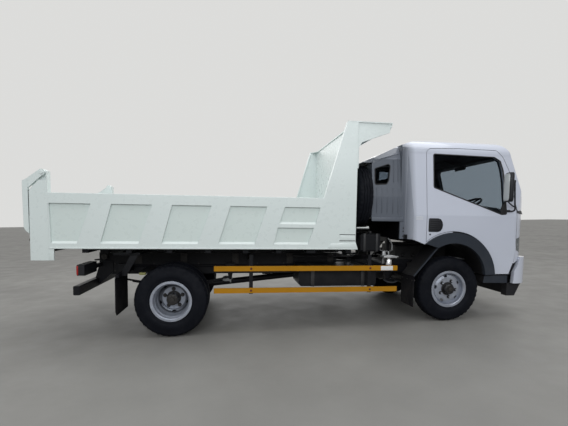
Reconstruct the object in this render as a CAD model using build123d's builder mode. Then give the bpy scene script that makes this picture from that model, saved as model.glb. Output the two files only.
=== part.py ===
from build123d import *
import os
import math

os.makedirs("parts", exist_ok=True)

# ============================================================================
# Light tipper truck, right-hand drive.  Millimetres, +X forward, +Y left, +Z up.
# The origin is on the ground, under the middle of the overall box.
# Wheels and axles stand level on the ground.  Everything that is sprung is laid
# out in the body frame: x ahead of the rear axle, z above the ground at the rear
# axle, and that frame leans nose down by RAKE about the rear axle.
# ============================================================================

# ---- overall layout --------------------------------------------------------
REAR_X = -1501.0          # rear axle, from the middle of the overall length
WHEELBASE = 3300.0
TYRE_R = 398.0            # 7.50-16 tyre
RAKE = 1.5                # nose-down lean of the unladen body, degrees
COS, SIN = math.cos(math.radians(RAKE)), math.sin(math.radians(RAKE))
FRONT_X = REAR_X + WHEELBASE

# ---- wheels ----------------------------------------------------------------
TYRE_W = 205.0
RIM_FLANGE_R = 225.0      # 16 inch rim with its flange
BEAD_R = 205.0
FRONT_TRACK_Y = 830.0     # middle of the front tyre
REAR_OUT_Y = 897.0        # middle of the outer rear tyre
REAR_IN_Y = 637.0         # middle of the inner rear tyre
HUB_PCD_R = 103.0
STUDS = 5
KING_Y = 690.0            # steering pivot
STEER_ARM = 150.0

# ---- frame -----------------------------------------------------------------
RAIL_Y = 375.0            # outside of the rail web
RAIL_Z0, RAIL_Z1 = 615.0, 785.0
RAIL_BACK, RAIL_FRONT = -940.0, 4058.0
SUB_Z1 = 879.0            # top of the tipper subframe
RAIL_FLANGE = 62.0
RAIL_T = 7.0

# ---- load bed --------------------------------------------------------------
BED_Y = 1050.0
BED_BACK = -1197.0
BED_Z0, BED_Z1 = 981.0, 1554.0
FLOOR_TOP = 1003.0
WALL_IN_Y = 998.0
RIB_RECESS = 22.0
BED_HINGE = (-868.0, 832.0)
HEAD_TOP = 2408.0
TAIL_PIVOT = (-1247.0, 1758.0)

# ---- cab -------------------------------------------------------------------
CAB_Y = 950.0
CAB_T = 42.0              # thickness of a cab wall
DOOR_T = 60.0
GAP = 5.0                 # gap round a door
CAB_PIVOT = (4020.0, 700.0)
ARCH_C = (3315.0, 634.0)  # centre of the front wheel arch
ARCH_IN, ARCH_OUT = 417.0, 546.0


# ---- planes ----------------------------------------------------------------
def at(x, y, z):
    """A point of the body frame, in the ground frame."""
    dz = z - TYRE_R
    return (REAR_X + x * COS + dz * SIN, y, TYRE_R - x * SIN + dz * COS)


def side(y):
    """Sketch x forward and y up in the body frame; extrudes to the right (-Y)."""
    return Plane(origin=at(0, y, 0), x_dir=(COS, 0, -SIN), z_dir=(0, -1, 0))


def level(z):
    """Sketch x forward, y left in the body frame; extrudes up."""
    return Plane(origin=at(0, 0, z), x_dir=(COS, 0, -SIN), z_dir=(SIN, 0, COS))


def across(x):
    """Sketch x left, y up in the body frame; extrudes forward."""
    return Plane(origin=at(x, 0, 0), x_dir=(0, 1, 0), z_dir=(COS, 0, -SIN))


def g_side(y):
    """As side, but level with the ground; sketch x is ahead of the rear axle."""
    return Plane(origin=(REAR_X, y, 0), x_dir=(1, 0, 0), z_dir=(0, -1, 0))


def g_across(x):
    """As across, but upright on the ground; x is ahead of the rear axle."""
    return Plane(origin=(REAR_X + x, 0, 0), x_dir=(0, 1, 0), z_dir=(1, 0, 0))


def g_level(z):
    return Plane(origin=(REAR_X, 0, z), x_dir=(1, 0, 0), z_dir=(0, 0, 1))


def body_xz(gx, gz):
    """Ground x (ahead of the rear axle) and z, in the body frame."""
    dz = gz - TYRE_R
    return gx * COS - dz * SIN, gx * SIN + dz * COS + TYRE_R


def save(part, name):
    part.label = name
    export_step(part, f"parts/{name}.step")


# ============================================================================
# Wheels.  Sections are drawn as (r, y) for a right-hand wheel: y is outboard.
# ============================================================================
def wheel_plane(x, y, s):
    """Sketch x is the radius, sketch y is outboard for side s (-1 right, 1 left)."""
    return Plane(origin=(REAR_X + x, y, TYRE_R), x_dir=(0, 0, 1), z_dir=(-s, 0, 0))


def wheel_axis(x, y):
    return Axis((REAR_X + x, y, TYRE_R), (0, 1, 0))


# tyre section: radius, half width
TYRE_SECTION = [
    (BEAD_R + 4, 78.0),
    (BEAD_R + 27, 84.0),
    (262.0, 100.0),
    (305.0, 102.5),
    (350.0, 97.0),
    (382.0, 84.0),
    (395.0, 66.0),
    (TYRE_R, 40.0),
]


def tyre_solid(x, y, s):
    with BuildPart() as t:
        with BuildSketch(wheel_plane(x, y, s)):
            with BuildLine():
                up = [(r, w) for r, w in TYRE_SECTION]
                dn = [(r, -w) for r, w in reversed(TYRE_SECTION)]
                Polyline(*up, *dn, close=True)
            make_face()
        revolve(axis=wheel_axis(x, y))
    return t.part


# disc sections inside the rim: radius, outboard of the tyre's middle
FRONT_DISC = [(182, 34), (168, 50), (140, 58), (60, 58), (60, 47), (136, 47), (160, 39), (168, 18), (182, 18)]
REAR_DISC = [(193, -70), (182, -84), (170, -98), (156, -112), (140, -119), (60, -119), (60, -130), (146, -130), (164, -122), (180, -104), (193, -84)]


def rim_solid(x, y, s, disc, holes, flip=1):
    """A pressed rim with its disc and hand holes; flip -1 turns it round."""
    with BuildPart() as r:
        with BuildSketch(wheel_plane(x, y, s)):
            with BuildLine():
                Polyline(
                    (BEAD_R - 1.0, 80.0), (RIM_FLANGE_R, 84.0), (RIM_FLANGE_R, 91.0), (BEAD_R - 6, 92.0),
                    (BEAD_R - 14, 82.0), (BEAD_R - 16, 46.0), (178.0, 30.0), (178.0, -40.0),
                    (BEAD_R - 14, -56.0), (BEAD_R - 14, -82.0), (BEAD_R - 6, -92.0), (RIM_FLANGE_R, -91.0),
                    (RIM_FLANGE_R, -84.0), (BEAD_R - 1.0, -80.0), (BEAD_R - 4, -52.0), (185.0, -34.0),
                    (185.0, 26.0), (BEAD_R - 4, 42.0), close=True)
            make_face()
            with BuildLine():
                Polyline(*[(a, b * flip) for a, b in disc], close=True)
            make_face()
        revolve(axis=wheel_axis(x, y))
        with BuildSketch(Plane(origin=(REAR_X + x, y, TYRE_R), x_dir=(1, 0, 0), z_dir=(0, s, 0))):
            with PolarLocations(155.0, STUDS, start_angle=holes):
                SlotOverall(46, 24, rotation=90)
        extrude(amount=200, both=True, mode=Mode.SUBTRACT)
    return r.part


BEARING_R = 36.0


def hub_solid(x, s, y_in, drum_w, y_face, y_cap, studs):
    """Drum, hub with flange, studs and cap; distances from the middle of the truck."""
    ax = Axis((REAR_X + x, 0, TYRE_R), (0, 1, 0))
    with BuildPart() as h:
        with BuildSketch(Plane(origin=(REAR_X + x, 0, TYRE_R), x_dir=(0, 0, 1), z_dir=(-s, 0, 0))):
            with BuildLine():
                Polyline((BEARING_R, y_in), (150.0, y_in), (150.0, y_in + drum_w), (80.0, y_in + drum_w), (80.0, y_face - 16), (128.0, y_face - 16),
                         (128.0, y_face), (62.0, y_face), (62.0, y_cap - 12), (50.0, y_cap), (0.0, y_cap), (0.0, y_cap - 30),
                         (BEARING_R, y_cap - 30), close=True)
            make_face()
        revolve(axis=ax)
        with BuildSketch(Plane(origin=(REAR_X + x, s * (y_face - 2), TYRE_R), x_dir=(1, 0, 0), z_dir=(0, s, 0))):
            with PolarLocations(HUB_PCD_R, STUDS, start_angle=studs):
                Circle(10.0)
        extrude(amount=46)
    return h.part


WHEELS = [  # name, x, side
    ("right", -1), ("left", 1)]

for tag, s in WHEELS:
    save(tyre_solid(WHEELBASE, s * FRONT_TRACK_Y, s), f"front_tyre_{tag}")
    with BuildPart() as front_rim:
        add(rim_solid(WHEELBASE, s * FRONT_TRACK_Y, s, FRONT_DISC, 99))
        add(hub_solid(WHEELBASE, s, FRONT_TRACK_Y - 86, 58, FRONT_TRACK_Y + 47, FRONT_TRACK_Y + 120, 63))
    save(front_rim.part, f"front_rim_{tag}")

    with BuildPart() as rear_tyres:
        add(tyre_solid(0, s * REAR_OUT_Y, s))
        add(tyre_solid(0, s * REAR_IN_Y, s))
    save(rear_tyres.part, f"rear_tyres_{tag}")
    mid_y = (REAR_OUT_Y + REAR_IN_Y) / 2
    with BuildPart() as rear_rims:
        add(rim_solid(0, s * REAR_OUT_Y, s, REAR_DISC, 54))
        add(rim_solid(0, s * REAR_IN_Y, s, REAR_DISC, 54, -1))
        add(hub_solid(0, s, 540, 108, mid_y - 11, mid_y + 128, 90))
    save(rear_rims.part, f"rear_rims_{tag}")

# ============================================================================
# Axles, knuckles, springs
# ============================================================================
SHAFT_R = BEARING_R - 0.05
with BuildPart() as rear_axle:
    with BuildSketch(Plane(origin=(REAR_X, 0, TYRE_R), x_dir=(0, 0, 1), z_dir=(1, 0, 0))):
        with BuildLine():
            Polyline((0, -700), (SHAFT_R, -700), (SHAFT_R, -533), (135, -533), (135, -519), (58, -519), (58, -260), (150, -130), (150, 130), (58, 260), (58, 519),
                     (135, 519), (135, 533), (SHAFT_R, 533), (SHAFT_R, 700), (0, 700), close=True)
        make_face()
    revolve(axis=Axis((REAR_X, 0, TYRE_R), (0, 1, 0)))
    with BuildSketch(g_across(80)):
        with Locations((0, TYRE_R)):
            Circle(115)
    extrude(amount=90)
    with BuildSketch(g_across(160)):
        with Locations((0, TYRE_R + 4)):
            Circle(52)
    extrude(amount=70)
    with BuildSketch(g_level(TYRE_R + 30)):      # spring seats
        with Locations((0, 440), (0, -440)):
            Rectangle(150, 74)
    extrude(amount=30)
save(rear_axle.part, "rear_axle")

EYE_BOLT_R = 14.0
with BuildPart() as front_axle_beam:
    with BuildSketch(g_across(WHEELBASE - 26)):
        with BuildLine():
            Polyline((-690, 432), (-690, 374), (-610, 374), (-560, 335), (-470, 292), (470, 292), (560, 335), (610, 374), (690, 374), (690, 432),
                     (600, 432), (500, 368), (-500, 368), (-600, 432), close=True)
        make_face()
    extrude(amount=52)
    for s in (-1, 1):
        with BuildSketch(g_level(374)):
            with Locations((WHEELBASE, s * KING_Y)):
                Circle(26)
        extrude(amount=58)
        with BuildSketch(g_level(344)):           # king pin
            with Locations((WHEELBASE, s * KING_Y)):
                Circle(EYE_BOLT_R)
        extrude(amount=118)
save(front_axle_beam.part, "front_axle_beam")

for tag, s in WHEELS:
    with BuildPart() as knuckle:
        with BuildSketch(g_level(332)):           # upright behind the drum
            with Locations((WHEELBASE, s * (KING_Y + 41))):
                Rectangle(96, 14)
        extrude(amount=140)
        with BuildSketch(g_level(440)):           # fork above the beam's end
            with Locations((WHEELBASE, s * (KING_Y + 20))):
                Rectangle(52, 40)
            with Locations((WHEELBASE, s * KING_Y)):
                Circle(26)
                Circle(EYE_BOLT_R + 0.06, mode=Mode.SUBTRACT)
        extrude(amount=26)
        with BuildSketch(g_level(340)):           # fork below it
            with Locations((WHEELBASE, s * (KING_Y + 20))):
                Rectangle(52, 40)
            with Locations((WHEELBASE, s * KING_Y)):
                Circle(26)
                Circle(EYE_BOLT_R + 0.06, mode=Mode.SUBTRACT)
        extrude(amount=26)
        with BuildSketch(g_side(s * (KING_Y + 40))):   # stub axle
            with Locations((WHEELBASE, TYRE_R)):
                Circle(SHAFT_R)
        extrude(amount=-s * 160)
        with BuildSketch(g_level(344)):          # steering arm, pointing back
            with BuildLine():
                Polyline((WHEELBASE - 20, s * (KING_Y + 44)), (WHEELBASE - 20, s * (KING_Y + 14)),
                         (WHEELBASE - STEER_ARM - 25, s * (KING_Y - 62)), (WHEELBASE - STEER_ARM - 25, s * (KING_Y - 22)), close=True)
            make_face()
        extrude(amount=22)
    save(knuckle.part, f"knuckle_{tag}")

with BuildPart() as tie_rod:                      # below the steering arms
    with BuildSketch(Plane(origin=(REAR_X + WHEELBASE - STEER_ARM, -(KING_Y - 30), 322), x_dir=(1, 0, 0), z_dir=(0, 1, 0))):
        Circle(15)
    extrude(amount=2 * (KING_Y - 30))
save(tie_rod.part, "tie_rod")

# leaf springs on the ground frame: middle y, eye x back, eye x front, seat x,
# underside z at the seat, top z at the back eye, at the front eye, leaves, width
SPRINGS = [
    (440.0, -640.0, 640.0, 0.0, 458.0, 590.0, 570.0, 5, 60.0),
    (340.0, 2740.0, 3860.0, 3300.0, 368.0, 478.0, 456.0, 4, 60.0),
]
LEAF_T = 10.5
with BuildPart() as leaf_springs:
    for y, xa, xb, xs, zu, za, zb, n, w in SPRINGS:
        zs = zu + n * LEAF_T

        def top(x):
            xe, ze = (xa, za) if x < xs else (xb, zb)
            return zs + (ze - zs) * ((x - xs) / (xe - xs)) ** 2
        pts = [(xa + (xb - xa) * i / 16, top(xa + (xb - xa) * i / 16)) for i in range(17)]
        low = []
        for end in (xb, xa):
            part_pts = []
            for i in range(n):
                e0 = xs + (end - xs) * (1 - 0.17 * i)
                e1 = xs + (end - xs) * (1 - 0.17 * (i + 1)) if i < n - 1 else xs
                for f in (0.0, 0.5, 1.0):
                    x = e0 + (e1 - e0) * f
                    part_pts.append((x, top(x) - LEAF_T * (i + 1)))
            low += part_pts if end == xb else list(reversed(part_pts))[1:]
        pts += low
        for s in (-1, 1):
            with BuildSketch(g_side(s * y + w / 2)):
                with BuildLine():
                    Polyline(*pts, close=True)
                make_face()
                with Locations((xa, za - 12), (xb, zb - 12)):
                    Circle(22)
            extrude(amount=w)
            for xe, ze in ((xa, za - 12), (xb, zb - 12)):     # hangers on the rail
                bx, bz = body_xz(xe, ze)
                if y > 400:
                    with BuildSketch(side(max(s * 375, s * (y + w / 2)))):
                        with BuildLine():
                            Polyline((bx - 60, 750), (bx + 60, 750), (bx + 18, bz), (bx - 18, bz), close=True)
                        make_face()
                    extrude(amount=y + w / 2 - 375)
                else:
                    with BuildSketch(side(s * y + w / 2)):
                        with BuildLine():
                            Polyline((bx - 50, RAIL_Z0), (bx + 50, RAIL_Z0), (bx + 18, bz), (bx - 18, bz), close=True)
                        make_face()
                    extrude(amount=w)
save(leaf_springs.part, "leaf_springs")

# ============================================================================
# Frame
# ============================================================================
with BuildPart() as frame_rails:
    for s in (-1, 1):
        with BuildSketch(across(RAIL_BACK)):
            with BuildLine():
                a, b = s * RAIL_Y, s * (RAIL_Y - RAIL_FLANGE)
                c = s * (RAIL_Y - RAIL_T)
                Polyline((a, RAIL_Z0), (b, RAIL_Z0), (b, RAIL_Z0 + RAIL_T), (c, RAIL_Z0 + RAIL_T), (c, RAIL_Z1 - RAIL_T),
                         (b, RAIL_Z1 - RAIL_T), (b, RAIL_Z1), (a, RAIL_Z1), close=True)
            make_face()
        extrude(amount=RAIL_FRONT - RAIL_BACK)
    with BuildSketch(side(500)):                  # seats of the cab's pivot and the hoist's trunnion
        with Locations(CAB_PIVOT):
            Circle(24.5)
    extrude(amount=1000, mode=Mode.SUBTRACT)
save(frame_rails.part, "frame_rails")

# cross members between the rail webs: x, bottom z, top z, length along x
CROSS = [
    (-930.0, 640.0, 770.0, 60.0),
    (-330.0, 650.0, 770.0, 70.0),
    (1780.0, 640.0, 760.0, 70.0),
    (3880.0, 625.0, 745.0, 70.0),
]
HOIST_BASE = (350.0, 690.0)
TOW_X, TOW_Z = -1075.0, (700.0, 770.0)            # middle of the tow pin, underside of its two ears
with BuildPart() as cross_members:
    for x, z0, z1, l in CROSS:
        with BuildSketch(across(x)):
            with Locations((0, (z0 + z1) / 2)):
                Rectangle(2 * (RAIL_Y - RAIL_T), z1 - z0)
                Rectangle(2 * (RAIL_Y - RAIL_T), z1 - z0 - 16, mode=Mode.SUBTRACT)
        extrude(amount=l)
        with BuildSketch(across(x)):
            with Locations((0, (z0 + z1) / 2)):
                Rectangle(2 * (RAIL_Y - RAIL_T), z1 - z0)
        extrude(amount=8)
    with BuildSketch(side(RAIL_Y - RAIL_T)):      # hoist trunnion
        with Locations(HOIST_BASE):
            Circle(27.8)
    extrude(amount=2 * (RAIL_Y - RAIL_T))
    with BuildSketch(side(440)):                  # cab pivot
        with Locations(CAB_PIVOT):
            Circle(24.5)
    extrude(amount=880)
    with BuildSketch(across(2712)):               # hoop that the back of the cab rests on
        with BuildLine():
            Polyline((-374, RAIL_Z1), (-374, 1089), (374, 1089), (374, RAIL_Z1), (314, RAIL_Z1), (314, 1030), (-314, 1030), (-314, RAIL_Z1), close=True)
        make_face()
    extrude(amount=40)
    with BuildSketch(across(-946)):               # tow coupling: back plate and two ears, level with the ground
        with Locations((0, 720)):
            Rectangle(200, 130)
    extrude(amount=16)
    for z in TOW_Z:
        with BuildSketch(g_level(z)):
            with BuildLine():
                Polyline((-940, 60), (TOW_X, 44))
                ThreePointArc((TOW_X, 44), (TOW_X - 44, 0), (TOW_X, -44))
                Polyline((TOW_X, -44), (-940, -60), (-940, 60))
            make_face()
            with Locations((TOW_X, 0)):
                Circle(16, mode=Mode.SUBTRACT)
        extrude(amount=16)
save(cross_members.part, "cross_members")

with BuildPart() as tipper_subframe:
    for s in (-1, 1):
        with BuildSketch(across(-940)):
            with Locations((s * (RAIL_Y - 30), (RAIL_Z1 + SUB_Z1) / 2)):
                Rectangle(60, SUB_Z1 - RAIL_Z1)
        extrude(amount=2960)
    with BuildSketch(side(420)):                  # hinge tube through its back end
        with Locations(BED_HINGE):
            Circle(24.5)
    extrude(amount=840)
    with BuildSketch(side(RAIL_Y - 50)):
        with Locations(BED_HINGE):
            Circle(38)
    extrude(amount=2 * (RAIL_Y - 50))
save(tipper_subframe.part, "tipper_subframe")

# ============================================================================
# Engine, gearbox, drive line
# ============================================================================
with BuildPart() as engine:                       # closed block with the gearbox behind it
    with BuildSketch(level(545)):
        with Locations((3275, 0)):
            Rectangle(750, 460)
    extrude(amount=420)
    with BuildSketch(across(2790)):
        with Locations((0, 640)):
            Circle(185)
    extrude(amount=112)
    with BuildSketch(across(2330)):
        with Locations((0, 630)):
            Rectangle(230, 270)
    extrude(amount=465)
    with BuildSketch(across(2200)):
        with Locations((0, 612)):
            Circle(95)
    extrude(amount=135)
save(engine.part, "engine_and_gearbox")

PROP_A = (238.0, TYRE_R + 4)                      # nose of the axle, ground frame
PROP_B_BODY = (2192.0, 612.0)
_bx, _by, _bz = at(PROP_B_BODY[0], 0, PROP_B_BODY[1])
PROP_B = (_bx - REAR_X, _bz)
with BuildPart() as propeller_shaft:
    dx, dz = PROP_B[0] - PROP_A[0], PROP_B[1] - PROP_A[1]
    plen = math.hypot(dx, dz)
    pl = Plane(origin=(REAR_X + PROP_A[0], 0, PROP_A[1]), x_dir=(0, 1, 0), z_dir=(dx / plen, 0, dz / plen))
    with BuildSketch(g_across(230)):              # flange on the axle
        with Locations((0, TYRE_R + 4)):
            Circle(48)
    extrude(amount=12)
    with BuildSketch(across(2188)):               # flange on the gearbox
        with Locations((0, 612)):
            Circle(48)
    extrude(amount=12)
    with BuildSketch(pl):
        Circle(26)
    extrude(amount=plen)
    with BuildSketch(pl.offset(80)):
        Circle(40)
    extrude(amount=plen - 180)
save(propeller_shaft.part, "propeller_shaft")

# ============================================================================
# What hangs on the frame
# ============================================================================
with BuildPart() as fuel_tank:                    # right side, behind the cab
    with BuildSketch(side(-440)):
        with Locations((1905, 650)):
            RectangleRounded(940, 235, 40)
    extrude(amount=440)
    for x in (1600, 2200):                        # brackets to the rail
        with BuildSketch(side(-RAIL_Y)):
            with Locations((x, 680)):
                Rectangle(60, 160)
        extrude(amount=80)
save(fuel_tank.part, "fuel_tank")

with BuildPart() as battery_and_air_tank:         # left side
    with BuildSketch(side(845)):
        with Locations((2300, 672)):
            RectangleRounded(560, 235, 18)
    extrude(amount=845 - 392)
    for x in (2100, 2480):
        with BuildSketch(side(400)):
            with Locations((x, 690)):
                Rectangle(60, 120)
        extrude(amount=25)
    with BuildSketch(across(1150)):
        with Locations((520, 660)):
            Circle(120)
    extrude(amount=720)
    for x in (1250, 1700):
        with BuildSketch(side(440)):
            with Locations((x, 680)):
                Rectangle(50, 120)
        extrude(amount=65)
save(battery_and_air_tank.part, "battery_and_air_tank")

with BuildPart() as hydraulic_tank:               # over the right rail, behind the cab
    with BuildSketch(across(2238)):
        with Locations((-490, 1037)):
            RectangleRounded(400, 224, 20)
    extrude(amount=254)
    with BuildSketch(level(RAIL_Z1)):
        with Locations((2370, -345)):
            Rectangle(140, 56)
    extrude(amount=150)
save(hydraulic_tank.part, "hydraulic_tank")

with BuildPart() as exhaust:                      # inside the left rail
    with BuildSketch(across(1100)):
        with Locations((215, 590)):
            Circle(80)
    extrude(amount=550)
    with BuildSketch(across(900)):
        with Locations((215, 590)):
            Circle(25)
    extrude(amount=2000)
    for x in (1200, 1520):
        with BuildSketch(across(x)):
            with Locations((280, RAIL_Z0 - 8)):
                Rectangle(110, 16)
        extrude(amount=40)
save(exhaust.part, "exhaust_silencer")

# side guards: two rails each side on two posts
GUARD_X0, GUARD_X1 = 463.0, 2588.0
GUARD_RAILS = [(731.0, 787.0), (484.0, 540.0)]    # bottom z, top z
GUARD_POSTS = [873.0, 2257.0]
with BuildPart() as side_guard_rails:
    for s in (-1, 1):
        for z0, z1 in GUARD_RAILS:
            with BuildSketch(across(GUARD_X0)):
                with BuildLine():
                    a, b, c = s * 1000, s * 974, s * 996
                    Polyline((a, z0), (b, z0), (b, z0 + 4), (c, z0 + 4), (c, z1 - 4), (b, z1 - 4), (b, z1), (a, z1), close=True)
                make_face()
            extrude(amount=GUARD_X1 - GUARD_X0)
save(side_guard_rails.part, "side_guard_rails")

with BuildPart() as side_guard_posts:
    for s in (-1, 1):
        for x in GUARD_POSTS:
            with BuildSketch(level(470)):
                with Locations((x, s * (974 - 8))):
                    Rectangle(42, 16)
            extrude(amount=440)
            with BuildSketch(across(x - 21)):
                with BuildLine():
                    Polyline((s * 960, 910), (s * 960, 860), (s * RAIL_Y, 800), (s * RAIL_Y, 850), close=True)
                make_face()
            extrude(amount=42)
            with BuildSketch(across(x - 21)):
                with BuildLine():
                    Polyline((s * (RAIL_Y), 855), (s * (RAIL_Y + 12), 855), (s * (RAIL_Y + 12), 700), (s * RAIL_Y, 700), close=True)
                make_face()
            extrude(amount=42)
save(side_guard_posts.part, "side_guard_posts")

with BuildPart() as mudflaps:
    for s in (-1, 1):
        with BuildSketch(across(-577)):
            with BuildLine():
                Polyline((s * 1000, 300), (s * 960, 250), (s * 545, 250), (s * 545, 669), (s * 1000, 669), close=True)
            make_face()
        extrude(amount=8)
        with BuildSketch(across(-572)):           # bracket bar to the rail
            with BuildLine():
                Polyline((s * RAIL_Y, 669), (s * 1000, 669), (s * 1000, 700), (s * RAIL_Y, 730), close=True)
            make_face()
        extrude(amount=36)
save(mudflaps.part, "rear_mudflaps")

with BuildPart() as rear_underrun:
    with BuildSketch(side(950)):
        with Locations((-980, 524)):
            RectangleRounded(70, 100, 12)
    extrude(amount=1900)
    for y in (387, -375):                         # plates on the outside of the rails
        with BuildSketch(side(y)):
            with BuildLine():
                Polyline((-985, 500), (-985, 575), (-925, 776), (-780, 776), (-780, 640), (-930, 500), close=True)
            make_face()
        extrude(amount=12)
save(rear_underrun.part, "rear_underrun_bar")

with BuildPart() as tail_lamps:
    for s in (-1, 1):
        with BuildSketch(across(-975)):
            with Locations((s * 770, 742)):
                RectangleRounded(360, 118, 14)
        extrude(amount=78)
        with BuildSketch(across(-922)):
            with Locations((s * 493, 742)):
                Rectangle(212, 46)
        extrude(amount=24)
save(tail_lamps.part, "tail_lamps")

# ============================================================================
# Spare wheel, upright behind the cab
# ============================================================================
SPARE = (2204.0, -590.0, 1602.0)                  # body frame
SPARE_R = 384.0


def spare_plane():
    return Plane(origin=at(*SPARE), x_dir=(0, 0, 1), z_dir=(0, 1, 0))


SPARE_AXIS = Axis(at(*SPARE), (COS, 0, -SIN))
sp = Plane(origin=at(*SPARE), x_dir=(SIN, 0, COS), z_dir=(0, 1, 0))   # sketch x up, y forward
with BuildPart() as spare_tyre:
    with BuildSketch(sp):
        with BuildLine():
            k = SPARE_R / TYRE_R
            up = [(r * k if r > 300 else r, w * 0.92) for r, w in TYRE_SECTION]
            dn = [(r * k if r > 300 else r, -w * 0.92) for r, w in reversed(TYRE_SECTION)]
            Polyline(*up, *dn, close=True)
        make_face()
    revolve(axis=SPARE_AXIS)
save(spare_tyre.part, "spare_tyre")

with BuildPart() as spare_rim:
    with BuildSketch(sp):
        with BuildLine():
            Polyline((BEAD_R - 1.0, 74), (RIM_FLANGE_R - 14, 78), (RIM_FLANGE_R - 14, 84), (BEAD_R - 8, 84), (BEAD_R - 16, 74), (178, 30), (178, 6), (60, 6), (60, -6),
                     (178, -6), (178, -36), (BEAD_R - 16, -74), (BEAD_R - 8, -84), (RIM_FLANGE_R - 14, -84), (RIM_FLANGE_R - 14, -78), (BEAD_R - 1.0, -74),
                     (186, -34), (186, 26), close=True)
        make_face()
    revolve(axis=SPARE_AXIS)
save(spare_rim.part, "spare_rim")

with BuildPart() as spare_carrier:
    with BuildSketch(level(SPARE[2] - SPARE_R - 14)):   # shelf under the tyre
        with Locations((SPARE[0] - 14, -505)):
            Rectangle(162, 750)
    extrude(amount=14)
    with BuildSketch(level(RAIL_Z1)):             # post inboard of the wheel, on a beam across the rails
        with Locations((SPARE[0], -135)):
            Rectangle(60, 60)
    extrude(amount=900)
    with BuildSketch(across(SPARE[0] - 40)):
        with BuildLine():
            Polyline((-374, RAIL_Z1), (-374, RAIL_Z1 + 50), (374, RAIL_Z1 + 50), (374, RAIL_Z1), close=True)
        make_face()
    extrude(amount=80)
    with BuildSketch(side(-165)):                 # chocks either side of the tyre
        with BuildLine():
            zz = SPARE[2] - SPARE_R
            Polyline((SPARE[0] - 88, zz), (SPARE[0] + 88, zz), (SPARE[0] + 88, zz + 12), (SPARE[0] - 88, zz + 12), close=True)
        make_face()
    extrude(amount=120)
    with BuildSketch(across(SPARE[0] - 20)):      # brace under the shelf
        with BuildLine():
            Polyline((-165, 980), (-165, 1040), (-640, SPARE[2] - SPARE_R - 14), (-700, SPARE[2] - SPARE_R - 14), close=True)
        make_face()
    extrude(amount=40)
save(spare_carrier.part, "spare_carrier")

# ============================================================================
# Bumper and valance, carried by the cab
# ============================================================================
with BuildPart() as front_bumper:
    with BuildSketch(side(952)):
        with BuildLine():
            Polyline((4134, 551), (4318, 551), (4380, 640), (4398, 765), (4372, 800), (4345, 884), (4220, 884), (4206, 820), (4146, 690), close=True)
        make_face()
    extrude(amount=1904)
    with BuildSketch(level(500)):                 # rounded plan
        with BuildLine():
            Polyline((4000, 952), (4190, 952))
            ThreePointArc((4190, 952), (4322, 888), (4375, 700))
            ThreePointArc((4375, 700), (4399, 0), (4375, -700))
            ThreePointArc((4375, -700), (4322, -888), (4190, -952))
            Polyline((4190, -952), (4000, -952), (4000, 952))
        make_face()
    extrude(amount=500, mode=Mode.INTERSECT)
    with BuildSketch(level(500)):                 # hollow behind
        with BuildLine():
            Polyline((3990, 900), (4180, 900))
            ThreePointArc((4180, 900), (4290, 840), (4336, 690))
            Line((4336, 690), (4336, -690))
            ThreePointArc((4336, -690), (4290, -840), (4180, -900))
            Polyline((4180, -900), (3990, -900), (3990, 900))
        make_face()
    extrude(amount=500, mode=Mode.SUBTRACT)

with BuildPart() as front_valance:
    with BuildSketch(side(880)):
        with BuildLine():
            Polyline((4106, 384), (4220, 384), (4298, 546), (4112, 546), close=True)
        make_face()
    extrude(amount=1760)
    with BuildSketch(level(300)):
        with BuildLine():
            Polyline((4186, 790), (4186, -790), (4000, -790), (4000, 790), close=True)
        make_face()
    extrude(amount=300, mode=Mode.SUBTRACT)
    for s in (-1, 1):                             # brackets up to the cab floor
        with BuildSketch(across(4190)):
            with Locations((s * 600, 682)):
                Rectangle(60, 290)
        extrude(amount=10)

# ============================================================================
# Cab.  One closed outer form, and the same form drawn inwards, give the walls.
# ============================================================================
BELT_Z = 1385.0


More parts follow.
